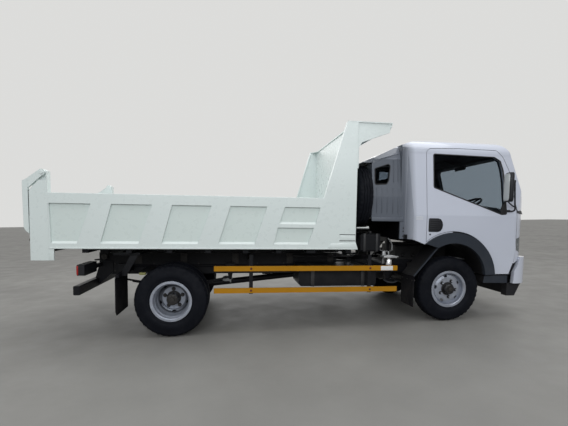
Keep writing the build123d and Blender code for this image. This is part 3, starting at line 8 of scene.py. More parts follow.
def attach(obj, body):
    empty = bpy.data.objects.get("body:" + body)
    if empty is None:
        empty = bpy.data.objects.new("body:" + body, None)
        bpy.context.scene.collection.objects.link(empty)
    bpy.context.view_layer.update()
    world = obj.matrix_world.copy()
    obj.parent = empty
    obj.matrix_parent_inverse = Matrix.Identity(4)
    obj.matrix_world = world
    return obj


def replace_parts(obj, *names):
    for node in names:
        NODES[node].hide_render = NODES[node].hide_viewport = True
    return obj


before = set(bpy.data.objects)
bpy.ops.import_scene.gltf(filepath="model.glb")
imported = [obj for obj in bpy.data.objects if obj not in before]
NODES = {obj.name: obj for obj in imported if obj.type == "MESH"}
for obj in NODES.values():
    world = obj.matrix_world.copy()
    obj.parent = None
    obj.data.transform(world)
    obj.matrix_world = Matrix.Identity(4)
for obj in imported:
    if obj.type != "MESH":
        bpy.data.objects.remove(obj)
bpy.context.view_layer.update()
scene = bpy.context.scene

# ============================================================================
# Coordinates.  Lengths below are millimetres.  P takes a point of the sprung
# body (it leans 1.5 degrees nose down about the rear axle), G a point on the
# level ground frame; both count x forward from the rear axle.
# ============================================================================
C, S = math.cos(math.radians(1.5)), math.sin(math.radians(1.5))
REAR_X, TYRE_R, WHEELBASE = -1501.0, 398.0, 3300.0


def P(x, y, z):
    dz = z - TYRE_R
    return Vector(((REAR_X + x * C + dz * S) / 1000, y / 1000, (TYRE_R - x * S + dz * C) / 1000))


def G(x, y, z):
    return Vector(((REAR_X + x) / 1000, y / 1000, z / 1000))


FW, LF, UP = Vector((C, 0, -S)), Vector((0, 1, 0)), Vector((S, 0, C))
MM = 0.001


# ============================================================================
# Materials
# ============================================================================
class Shade:
    """One procedural material, built node by node."""

    def __init__(self, name):
        self.m = bpy.data.materials.new(name)
        self.m.use_nodes = True
        self.t = self.m.node_tree
        self.t.nodes.clear()
        self.out = self.t.nodes.new("ShaderNodeOutputMaterial")
        self.tc = self.t.nodes.new("ShaderNodeTexCoord")
        self.obj = self.tc.outputs["Object"]

    def n(self, kind, **props):
        node = self.t.nodes.new(kind)
        for k, v in props.items():
            setattr(node, k, v)
        return node

    def put(self, socket, value):
        if hasattr(value, "links"):
            self.t.links.new(value, socket)
        elif isinstance(value, (tuple, list)) and len(value) == 3 and len(getattr(socket, "default_value", (0,))) == 4:
            socket.default_value = (*value, 1.0)
        else:
            socket.default_value = value

    def noise(self, scale, detail=4.0, rough=0.55, vec=None, stretch=None, distortion=0.0):
        v = vec or self.obj
        if stretch:
            mp = self.n("ShaderNodeMapping")
            mp.inputs["Scale"].default_value = stretch
            self.t.links.new(v, mp.inputs["Vector"])
            v = mp.outputs[0]
        q = self.n("ShaderNodeTexNoise")
        q.inputs["Scale"].default_value = scale
        q.inputs["Detail"].default_value = detail
        q.inputs["Roughness"].default_value = rough
        q.inputs["Distortion"].default_value = distortion
        self.t.links.new(v, q.inputs["Vector"])
        return q.outputs[0]

    def range(self, value, a, b, c=0.0, d=1.0):
        q = self.n("ShaderNodeMapRange")
        q.clamp = True
        self.put(q.inputs[0], value)
        for i, x in enumerate((a, b, c, d)):
            q.inputs[i + 1].default_value = x
        return q.outputs[0]

    def mix(self, fac, a, b):
        q = self.n("ShaderNodeMix", data_type="RGBA")
        self.put(q.inputs[0], fac)
        self.put(q.inputs[6], a)
        self.put(q.inputs[7], b)
        return q.outputs[2]

    def math(self, op, a, b=0.0, clamp=False):
        q = self.n("ShaderNodeMath", operation=op, use_clamp=clamp)
        self.put(q.inputs[0], a)
        self.put(q.inputs[1], b)
        return q.outputs[0]

    def vmath(self, op, a, b=None):
        q = self.n("ShaderNodeVectorMath", operation=op)
        self.put(q.inputs[0], a)
        if b is not None:
            self.put(q.inputs[1], b)
        return q

    def xyz(self, v=None):
        q = self.n("ShaderNodeSeparateXYZ")
        self.t.links.new(v or self.obj, q.inputs[0])
        return q.outputs

    def bevel(self, radius):
        q = self.n("ShaderNodeBevel", samples=4)
        q.inputs["Radius"].default_value = radius
        return q.outputs[0]

    def bump(self, height, strength, distance, normal=None):
        q = self.n("ShaderNodeBump")
        q.inputs["Strength"].default_value = strength
        q.inputs["Distance"].default_value = distance
        self.t.links.new(height, q.inputs["Height"])
        if normal is not None:
            self.t.links.new(normal, q.inputs["Normal"])
        return q.outputs[0]

    def surface(self, color, rough, metal=0.0, coat=0.0, coat_rough=0.05, spec=0.5, sheen=0.0, normal=None, emit=None, emit_strength=0.0):
        p = self.n("ShaderNodeBsdfPrincipled")
        self.put(p.inputs["Base Color"], color)
        self.put(p.inputs["Roughness"], rough)
        self.put(p.inputs["Metallic"], metal)
        p.inputs["Coat Weight"].default_value = coat
        p.inputs["Coat Roughness"].default_value = coat_rough
        p.inputs["Specular IOR Level"].default_value = spec
        if sheen:
            p.inputs["Sheen Weight"].default_value = sheen
            p.inputs["Sheen Roughness"].default_value = 0.4
        if normal is not None:
            self.t.links.new(normal, p.inputs["Normal"])
        if emit is not None:
            p.inputs["Emission Color"].default_value = (*emit, 1)
            p.inputs["Emission Strength"].default_value = emit_strength
        self.t.links.new(p.outputs[0], self.out.inputs["Surface"])
        self.p = p
        return self.m


def tint(c, k):
    return tuple(max(0.0, min(1.0, v * k)) for v in c)


def paint(name, base, rough, metal=0.0, coat=0.0, coat_rough=0.05, spec=0.5, var=0.05, vscale=1.7, dust=(0.36, 0.33, 0.29), dust_amt=0.0,
          dust_z=(0.1, 1.2), speck=None, speck_amt=0.0, speck_scale=46.0, grain=420.0, grain_bump=0.05, grain_dist=0.0006, peel=0.0, bevel=0.0, rvar=0.06, extra=None, up_dust=0.0):
    """Paint, plastic or bare metal: slow tone changes, dust that settles low and on top, small specks, grain in the relief."""
    s = Shade(name)
    slow = s.range(s.noise(vscale, 5.0, 0.6), 0.32, 0.68)
    mid = s.range(s.noise(vscale * 9.0, 4.0, 0.6), 0.3, 0.7)
    col = s.mix(slow, tint(base, 1 - var), tint(base, 1 + var * 0.6))
    col = s.mix(s.math("MULTIPLY", mid, var * 1.5), col, tint(base, 1 - 2.2 * var))
    if speck:
        sp = s.range(s.noise(speck_scale, 3.0, 0.7), 0.66, 0.74)
        patch = s.range(s.noise(vscale * 2.3, 3.0, 0.5), 0.48, 0.66)
        col = s.mix(s.math("MULTIPLY", s.math("MULTIPLY", sp, patch), speck_amt), col, speck)
    if extra:
        col = extra(s, col)
    if dust_amt:
        z = s.xyz()[2]
        low = s.range(z, dust_z[0], dust_z[1], 1.0, 0.0)
        cloud = s.range(s.noise(6.0, 6.0, 0.65), 0.3, 0.72)
        col = s.mix(s.math("MULTIPLY", s.math("MULTIPLY", low, cloud), dust_amt), col, dust)
    if up_dust:
        nz = s.xyz(s.tc.outputs["Normal"])[2]
        top = s.range(nz, 0.6, 0.95)
        cl = s.range(s.noise(9.0, 5.0, 0.65), 0.35, 0.7)
        col = s.mix(s.math("MULTIPLY", s.math("MULTIPLY", top, cl), up_dust), col, dust)
    r = s.range(s.noise(vscale * 14, 4.0, 0.6), 0.3, 0.7, max(0.02, rough - rvar), min(1.0, rough + rvar))
    base_n = s.bevel(bevel) if bevel else None
    h = s.noise(grain, 3.0, 0.6)
    nrm = s.bump(h, grain_bump, grain_dist, base_n)
    if peel:
        nrm = s.bump(s.noise(55.0, 2.0, 0.4), peel, 0.0012, nrm)
    return s.surface(col, r, metal, coat, coat_rough, spec, normal=nrm)


def bed_scuffs_and_recess_shade(s, col):
    """The bed's paint: rubbed streaks along its length, worn through on what faces up; the recessed fields get a
    painted shade, a little darker.
    """
    streak = s.range(s.noise(9.0, 6.0, 0.7, stretch=(0.35, 3.0, 3.5)), 0.62, 0.72)
    col = s.mix(s.math("MULTIPLY", streak, 0.05), col, (0.5, 0.51, 0.48))
    nz = s.xyz(s.tc.outputs["Normal"])[2]
    up = s.range(nz, 0.8, 0.97)
    z = s.xyz()[2]
    floor = s.math("MULTIPLY", up, s.range(z, 1.03, 1.08, 1.0, 0.0))
    wear = s.range(s.noise(3.2, 8.0, 0.72, stretch=(0.6, 1.6, 1.0)), 0.47, 0.62)
    col = s.mix(s.math("MULTIPLY", floor, s.math("MULTIPLY", wear, 0.42)), col, (0.34, 0.325, 0.30))
    # painted shade: the recessed faces of the side panels are made a little darker
    ay = s.math("ABSOLUTE", s.xyz()[1])
    recess_painted_shade = s.math("MULTIPLY", s.range(ay, 1.0295, 1.0305, 1.0, 0.0), s.range(ay, 1.0255, 1.0265))
    recess_painted_shade = s.math("MULTIPLY", recess_painted_shade, s.range(z, 1.49, 1.51, 1.0, 0.0))
    col = s.mix(s.math("MULTIPLY", recess_painted_shade, 0.8), col, (0.635, 0.715, 0.69))
    lip = s.math("MULTIPLY", up, s.range(s.noise(14.0, 6.0, 0.7), 0.56, 0.68))
    return s.mix(s.math("MULTIPLY", lip, 0.25), col, (0.33, 0.31, 0.28))


def arch_liner(s, col):
    """The flare stands outside; the liner inboard of it is near black."""
    ay = s.math("ABSOLUTE", s.xyz()[1])
    return s.mix(s.range(ay, 0.932, 0.937, 1.0, 0.0), col, (0.008, 0.008, 0.010))


CAB_MID = P(3330, 0, 1560)


def cab_inside(s, col):
    """Outside white; whatever faces the middle of the cab is grey trim, paler overhead."""
    to_mid = s.vmath("SUBTRACT", tuple(CAB_MID), s.obj).outputs[0]
    aim = s.vmath("NORMALIZE", to_mid).outputs[0]
    dot = s.vmath("DOT_PRODUCT", aim, s.tc.outputs["Normal"]).outputs["Value"]
    inside = s.range(dot, 0.28, 0.34)
    z = s.xyz()[2]
    trim = s.mix(s.range(z, 1.9, 1.96), (0.085, 0.088, 0.095), (0.16, 0.16, 0.165))
    return s.mix(inside, col, trim)


def door_inside(s, col):
    """Door: white skin, dark trim from the inner edge of the wall inwards."""
    o = s.xyz()
    ay = s.math("ABSOLUTE", o[1])
    skin = s.math("SUBTRACT", 0.950, s.math("MULTIPLY", s.math("MAXIMUM", s.math("SUBTRACT", o[2], 1.30), 0.0), 0.1061))
    deep = s.range(s.math("SUBTRACT", skin, ay), 0.040, 0.043)
    return s.mix(deep, col, (0.085, 0.088, 0.095))


def quarter_painted_shade(s, col):
    """Rear quarter: painted shade, a darker and duller colour towards the back of the cab, not on what faces up."""
    o = s.xyz()
    nz = s.xyz(s.tc.outputs["Normal"])[2]
    # painted shade: darker grey-blue towards the back of the quarter stands in for the shade there
    painted_shade = s.math("MULTIPLY", s.range(o[0], 1.235, 1.365, 0.93, 0.0), s.range(nz, 0.35, 0.75, 1.0, 0.3))
    return s.mix(painted_shade, col, (0.074, 0.086, 0.108))


def back_shade(s, col):
    """The extension has the quarter's painted shade, and on the wall under it, facing back, a painted shade in near
    black; grey trim inside.
    """
    o = s.xyz()
    col = quarter_painted_shade(s, col)
    nx = s.xyz(s.tc.outputs["Normal"])[0]
    # painted shade: the back-facing wall under the extension is made near black for the shade there
    low = s.math("MULTIPLY", s.range(o[2], 1.262, 1.272, 1.0, 0.0), s.range(s.math("ABSOLUTE", o[1]), 0.835, 0.85, 1.0, 0.0))
    col = s.mix(s.math("MULTIPLY", low, s.range(nx, -0.7, -0.5, 1.0, 0.0)), col, (0.004, 0.004, 0.005))
    return cab_inside(s, col)


def side_shade(s, col):
    # cab sides: the rear quarter's painted shade, then grey trim inside
    return cab_inside(s, quarter_painted_shade(s, col))


M = {}
M["cab_white"] = paint("cab_white", (0.535, 0.565, 0.655), 0.16, coat=0.6, coat_rough=0.04, var=0.022, dust=(0.5, 0.48, 0.45), dust_amt=0.16, dust_z=(0.35, 1.0),
                       grain_bump=0.015, peel=0.035, bevel=0.006, rvar=0.04, extra=side_shade)
M["back_white"] = paint("back_white", (0.535, 0.565, 0.655), 0.32, coat=0.08, coat_rough=0.1, spec=0.3, var=0.03, dust=(0.5, 0.48, 0.45), dust_amt=0.16, dust_z=(0.35, 1.0),
                        grain_bump=0.015, peel=0.035, bevel=0.006, rvar=0.04, extra=back_shade)
M["door_white"] = paint("door_white", (0.535, 0.565, 0.655), 0.16, coat=0.6, coat_rough=0.04, var=0.022, dust=(0.5, 0.48, 0.45), dust_amt=0.16, dust_z=(0.35, 1.0),
                        grain_bump=0.015, peel=0.035, bevel=0.005, rvar=0.04, extra=door_inside)
M["panel_white"] = paint("panel_white", (0.535, 0.565, 0.655), 0.17, coat=0.55, coat_rough=0.05, var=0.025, dust=(0.5, 0.48, 0.45), dust_amt=0.16, dust_z=(0.3, 0.95),
                         grain_bump=0.015, peel=0.03, bevel=0.008, rvar=0.04)
M["bed_white"] = paint("bed_white", (0.68, 0.745, 0.735), 0.30, coat=0.2, coat_rough=0.2, var=0.018, vscale=1.1, dust=(0.42, 0.4, 0.36), dust_amt=0.10, dust_z=(0.7, 1.25),
                       speck=(0.30, 0.2, 0.13), speck_amt=0.07, grain_bump=0.03, grain_dist=0.0008, peel=0.025, bevel=0.004, extra=bed_scuffs_and_recess_shade)
M["chassis_black"] = paint("chassis_black", (0.006, 0.0066, 0.0095), 0.40, spec=0.2, var=0.2, vscale=3.0, dust_amt=0.035, dust_z=(0.15, 1.3), speck=(0.10, 0.05, 0.03), speck_amt=0.3,
                           grain_bump=0.12, grain_dist=0.0008, bevel=0.003, up_dust=0.05)
M["engine_iron"] = paint("engine_iron", (0.03, 0.03, 0.032), 0.55, metal=0.35, var=0.2, vscale=4.0, dust_amt=0.08, speck=(0.13, 0.07, 0.04), speck_amt=0.6,
                         grain=260.0, grain_bump=0.35, grain_dist=0.0015, bevel=0.004, up_dust=0.08)
M["guard_amber"] = paint("guard_amber", (0.40, 0.18, 0.001), 0.4, spec=0.2, var=0.10, vscale=3.5, dust_amt=0.05, dust_z=(0.3, 0.9), speck=(0.25, 0.1, 0.03), speck_amt=0.6,
                         speck_scale=60, grain_bump=0.08, bevel=0.003, up_dust=0.06)
M["black_rubber"] = paint("black_rubber", (0.006, 0.006, 0.009), 0.7, spec=0.12, var=0.15, vscale=4.0, dust_amt=0.08, dust_z=(0.2, 0.75), grain=300.0, grain_bump=0.2, grain_dist=0.001,
                          bevel=0.003)
M["black_plastic"] = paint("black_plastic", (0.010, 0.0105, 0.014), 0.44, spec=0.3, var=0.09, vscale=4.0, dust_amt=0.05, dust_z=(0.2, 1.1), grain=620.0, grain_bump=0.18,
                           grain_dist=0.0006, bevel=0.004, up_dust=0.04)
M["grey_plastic"] = paint("grey_plastic", (0.095, 0.097, 0.102), 0.55, spec=0.4, var=0.06, vscale=4.0, grain=560.0, grain_bump=0.22, grain_dist=0.0006, bevel=0.004, up_dust=0.1)
M["flare_grey"] = paint("flare_grey", (0.024, 0.030, 0.041), 0.5, spec=0.22, var=0.08, vscale=3.0, dust_amt=0.05, dust_z=(0.3, 1.15), grain=640.0, grain_bump=0.16,
                        grain_dist=0.0006, bevel=0.006, up_dust=0.05, extra=arch_liner)
M["matt_black"] = paint("matt_black", (0.004, 0.004, 0.005), 0.9, spec=0.03, var=0.3, vscale=6.0, grain=300.0, grain_bump=0.2)
M["seal"] = paint("seal", (0.012, 0.012, 0.013), 0.5, spec=0.4, var=0.1, vscale=6.0, grain=500.0, grain_bump=0.1)
M["dull_metal"] = paint("dull_metal", (0.06, 0.06, 0.063), 0.45, metal=0.6, var=0.2, vscale=14.0, speck=(0.15, 0.08, 0.04), speck_amt=0.4, grain_bump=0.12)
M["zinc"] = paint("zinc", (0.55, 0.56, 0.57), 0.32, metal=0.9, var=0.1, vscale=8.0, dust_amt=0.12, speck=(0.3, 0.2, 0.12), speck_amt=0.3, grain_bump=0.12, bevel=0.002)
M["dark_bolt"] = paint("dark_bolt", (0.045, 0.042, 0.04), 0.5, metal=0.5, var=0.25, vscale=12.0, speck=(0.2, 0.09, 0.04), speck_amt=0.6, speck_scale=120, grain_bump=0.2)
M["red_bolt"] = paint("red_bolt", (0.12, 0.018, 0.012), 0.5, metal=0.2, var=0.25, vscale=12.0, speck=(0.2, 0.09, 0.04), speck_amt=0.5, speck_scale=120, grain_bump=0.2)
M["bright"] = paint("bright", (0.72, 0.72, 0.73), 0.2, metal=1.0, var=0.05, vscale=6.0, grain_bump=0.04)
M["galv"] = paint("galv", (0.46, 0.47, 0.48), 0.42, metal=0.7, var=0.14, vscale=14.0, grain_bump=0.1, dust_amt=0.15)
M["pale_part"] = paint("pale_part", (0.58, 0.6, 0.6), 0.4, var=0.08, vscale=7.0, dust_amt=0.1, dust_z=(0.5, 1.6), grain_bump=0.08, bevel=0.003)
M["yellow_part"] = paint("yellow_part", (0.22, 0.22, 0.05), 0.5, var=0.12, vscale=12.0, dust_amt=0.3, dust_z=(0.5, 1.0), grain_bump=0.1)
M["plate_white"] = paint("plate_white", (0.7, 0.71, 0.71), 0.35, var=0.04, vscale=9.0, dust_amt=0.2, dust_z=(0.3, 0.9), grain_bump=0.06)
M["weld"] = paint("weld", (0.66, 0.69, 0.67), 0.4, var=0.06, vscale=30.0, grain=180.0, grain_bump=0.5, grain_dist=0.002)
M["scar"] = paint("scar", (0.44, 0.46, 0.44), 0.5, var=0.15, vscale=40.0, grain=180.0, grain_bump=0.5, grain_dist=0.002)
M["trim_dark"] = paint("trim_dark", (0.055, 0.057, 0.062), 0.6, spec=0.35, var=0.08, vscale=5.0, grain=480.0, grain_bump=0.25, grain_dist=0.0007, bevel=0.004)
M["liner"] = paint("liner", (0.055, 0.055, 0.058), 0.7, spec=0.3, var=0.12, vscale=5.0, dust_amt=0.3, grain=300.0, grain_bump=0.3)


def rod_material():
    s = Shade("rod_chrome")
    r = s.range(s.noise(40.0, 3.0, stretch=(1, 12, 12)), 0.3, 0.7, 0.08, 0.2)
    c = s.mix(s.range(s.noise(5.0, 4.0), 0.4, 0.65), (0.72, 0.72, 0.74), (0.6, 0.6, 0.61))
    return s.surface(c, r, metal=1.0, normal=s.bump(s.noise(300.0, 2.0), 0.04, 0.0004))


M["rod_chrome"] = rod_material()


def tyre_material():
    s = Shade("tyre_rubber")
    slow = s.range(s.noise(3.0, 5.0, 0.6), 0.35, 0.65)
    col = s.mix(slow, (0.0038, 0.0045, 0.0072), (0.0068, 0.0078, 0.0115))
    dust = s.range(s.noise(11.0, 6.0, 0.7), 0.5, 0.74)
    col = s.mix(s.math("MULTIPLY", dust, 0.05), col, (0.10, 0.095, 0.088))
    r = s.range(s.noise(26.0, 4.0), 0.3, 0.7, 0.5, 0.74)
    n1 = s.bump(s.noise(500.0, 3.0), 0.12, 0.0008)
    return s.surface(col, r, spec=0.09, normal=n1)


M["tyre_rubber"] = tyre_material()


def rim_material(name, centre, dark_inside):
    """Silver wheel; the hub and the drum inside it are dark iron."""
    s = Shade(name)
    cx, cy, cz = centre
    o = s.xyz()
    dx, dz = s.math("SUBTRACT", o[0], cx), s.math("SUBTRACT", o[2], cz)
    r = s.math("SQRT", s.math("ADD", s.math("MULTIPLY", dx, dx), s.math("MULTIPLY", dz, dz)))
    slow = s.range(s.noise(9.0, 5.0, 0.6), 0.3, 0.7)
    silver = s.mix(slow, (0.30, 0.325, 0.385), (0.42, 0.45, 0.52))
    grime = s.range(s.noise(22.0, 6.0, 0.7), 0.5, 0.72)
    silver = s.mix(s.math("MULTIPLY", grime, 0.35), silver, (0.2, 0.17, 0.14))
    iron = s.mix(slow, (0.008, 0.008, 0.010), (0.018, 0.017, 0.018))
    hub = s.range(r, 0.0805, 0.0825, 1.0, 0.0)
    ay = s.math("ABSOLUTE", o[1])
    drum = s.math("MULTIPLY", s.range(r, 0.1535, 0.1545, 1.0, 0.0), s.range(ay, dark_inside - 0.002, dark_inside, 1.0, 0.0))
    is_iron = s.math("MAXIMUM", hub, drum)
    if name.startswith("rim_silver_rear"):           # the twin wheel's deep well lies in shade and grime
        well = s.math("MULTIPLY", s.range(r, 0.124, 0.132), s.range(r, 0.166, 0.176, 1.0, 0.0))
        silver = s.mix(s.math("MULTIPLY", well, 0.82), silver, (0.045, 0.05, 0.062))
    col = s.mix(is_iron, silver, iron)
    rough = s.range(s.noise(30.0, 4.0), 0.3, 0.7, 0.28, 0.46)
    metal = s.range(is_iron, 0.0, 1.0, 0.55, 0.1)
    nrm = s.bump(s.noise(380.0, 3.0), 0.08, 0.0007, s.bevel(0.004))
    return s.surface(col, rough, metal, normal=nrm)


def glass_material():
    s = Shade("glass")
    clear = s.n("ShaderNodeBsdfTransparent")
    x = s.xyz()[0]
    s.put(clear.inputs[0], s.mix(s.range(x, 1.20, 1.32), (0.46, 0.50, 0.54), (0.695, 0.730, 0.760)))
    gloss = s.n("ShaderNodeBsdfPrincipled")
    film = s.mix(s.range(s.noise(3.0, 4.0), 0.4, 0.7), (0.02, 0.022, 0.024), (0.04, 0.043, 0.046))
    s.put(gloss.inputs["Base Color"], film)
    s.put(gloss.inputs["Roughness"], s.range(s.noise(7.0, 4.0), 0.3, 0.7, 0.015, 0.05))
    edge = s.n("ShaderNodeLayerWeight")
    edge.inputs[0].default_value = 0.5
    mixed = s.n("ShaderNodeMixShader")
    s.t.links.new(s.math("ADD", s.math("MULTIPLY", s.math("POWER", edge.outputs[1], 5.0), 0.9), 0.025), mixed.inputs[0])
    s.t.links.new(clear.outputs[0], mixed.inputs[1])
    s.t.links.new(gloss.outputs[0], mixed.inputs[2])
    s.t.links.new(mixed.outputs[0], s.out.inputs["Surface"])
    return s.m


M["glass"] = glass_material()


def lens_material(name, color, rough=0.08, ribs=None, clear=0.0, flat=0.0):
    s = Shade(name)
    col = s.mix(s.range(s.noise(8.0, 3.0), 0.35, 0.65), tint(color, 0.82), color)
    rg = s.range(s.noise(16.0, 3.0), 0.3, 0.7, rough, rough + 0.06)
    q = s.n("ShaderNodeTexWave", wave_type="BANDS", bands_direction="Z")
    q.inputs["Scale"].default_value = ribs or 40.0
    s.t.links.new(s.obj, q.inputs["Vector"])
    nrm = s.bump(q.outputs[1], 0.25, 0.0015)
    s.surface(col, rg, coat=0.5, normal=nrm)
    if clear:
        tr = s.n("ShaderNodeBsdfTransparent")
        tr.inputs[0].default_value = (0.93, 0.95, 0.96, 1)
        mx = s.n("ShaderNodeMixShader")
        fres = s.n("ShaderNodeFresnel")
        fres.inputs[0].default_value = 1.5
        s.t.links.new(s.math("ADD", s.math("MULTIPLY", fres.outputs[0], 0.9), 1 - clear, clamp=True), mx.inputs[0])
        s.t.links.new(tr.outputs[0], mx.inputs[1])
        s.t.links.new(s.p.outputs[0], mx.inputs[2])
        s.t.links.new(mx.outputs[0], s.out.inputs["Surface"])
    return s.m


M["red_lens"] = lens_material("red_lens", (0.42, 0.008, 0.006))
M["amber_lens"] = lens_material("amber_lens", (0.75, 0.22, 0.01))
M["white_lens"] = lens_material("white_lens", (0.62, 0.63, 0.64))
M["lamp_glass"] = lens_material("lamp_glass", (0.5, 0.53, 0.55), rough=0.03, ribs=14.0, clear=0.82)


def mirror_face():
    s = Shade("mirror_face")
    c = s.mix(s.range(s.noise(4.0, 3.0), 0.4, 0.7), (0.86, 0.88, 0.88), (0.8, 0.82, 0.83))
    r = s.range(s.noise(9.0, 3.0), 0.3, 0.7, 0.06, 0.12)
    return s.surface(c, r, metal=0.35)


M["mirror_face"] = mirror_face()


def fabric_material(name, base, weave=900.0, stripe=None):
    """Woven seat cloth: crossed threads in tone and relief, a paler panel where the record says stripe."""
    s = Shade(name)
    o = s.xyz()
    threads = s.n("ShaderNodeTexChecker")
    threads.inputs["Scale"].default_value = weave
    s.t.links.new(s.obj, threads.inputs["Vector"])
    slow = s.range(s.noise(6.0, 5.0, 0.6), 0.3, 0.7)
    col = s.mix(slow, tint(base, 0.85), tint(base, 1.15))
    col = s.mix(s.math("MULTIPLY", threads.outputs[1], 0.35), col, tint(base, 0.6))
    if stripe:
        band = s.n("ShaderNodeTexWave", wave_type="BANDS", bands_direction="Y")
        band.inputs["Scale"].default_value = 5.5
        s.t.links.new(s.obj, band.inputs["Vector"])
        col = s.mix(s.math("MULTIPLY", s.range(band.outputs[1], 0.72, 0.8), 0.5), col, stripe)
    wear = s.range(s.noise(14.0, 6.0, 0.7), 0.55, 0.75)
    col = s.mix(s.math("MULTIPLY", wear, 0.2), col, tint(base, 1.7))
    nrm = s.bump(threads.outputs[1], 0.3, 0.0006, s.bump(s.noise(240.0, 4.0), 0.3, 0.0012))
    return s.surface(col, s.range(s.noise(60.0, 3.0), 0.3, 0.7, 0.78, 0.95), sheen=0.3, spec=0.25, normal=nrm)


M["seat_fabric"] = fabric_material("seat_fabric", (0.085, 0.088, 0.1), stripe=(0.16, 0.17, 0.2))
M["seat_side"] = fabric_material("seat_side", (0.05, 0.05, 0.056), weave=1200.0)


# ============================================================================
# Shapes
# ============================================================================
def arc_corner(p0, p1, p2, r, n):
    """Points of the fillet of radius r at p1."""
    a, b = (p0 - p1), (p2 - p1)
    la, lb = a.length, b.length
    if la < 1e-9 or lb < 1e-9:
        return [p1]
    a, b = a / la, b / lb
    ang = a.angle(b, math.pi)
    if ang > math.pi - 0.02 or ang < 0.02:
        return [p1]
    d = min(r / math.tan(ang / 2), la * 0.49, lb * 0.49)
    r = d * math.tan(ang / 2)
    m = (a + b).normalized()
    c = p1 + m * (r / math.sin(ang / 2))
    s, e = p1 + a * d - c, p1 + b * d - c
    w = s.angle(e, 0.0)
    out = []
    for i in range(n + 1):
        t = i / n
        k0, k1 = math.sin((1 - t) * w) / math.sin(w), math.sin(t * w) / math.sin(w)
        out.append(c + s * k0 + e * k1)
    return out


def rounded(pts, r, n=5, closed=True):
    """A polygon or line of points with its corners rounded."""
    pts = [Vector(p) for p in pts]
    out = []
    k = len(pts)
    for i, p in enumerate(pts):
        if not closed and i in (0, k - 1):
            out.append(p)
            continue
        ri = r[i] if isinstance(r, (list, tuple)) else r
        if ri <= 0:
            out.append(p)
        else:
            out += arc_corner(pts[i - 1], p, pts[(i + 1) % k], ri, n)
    return out


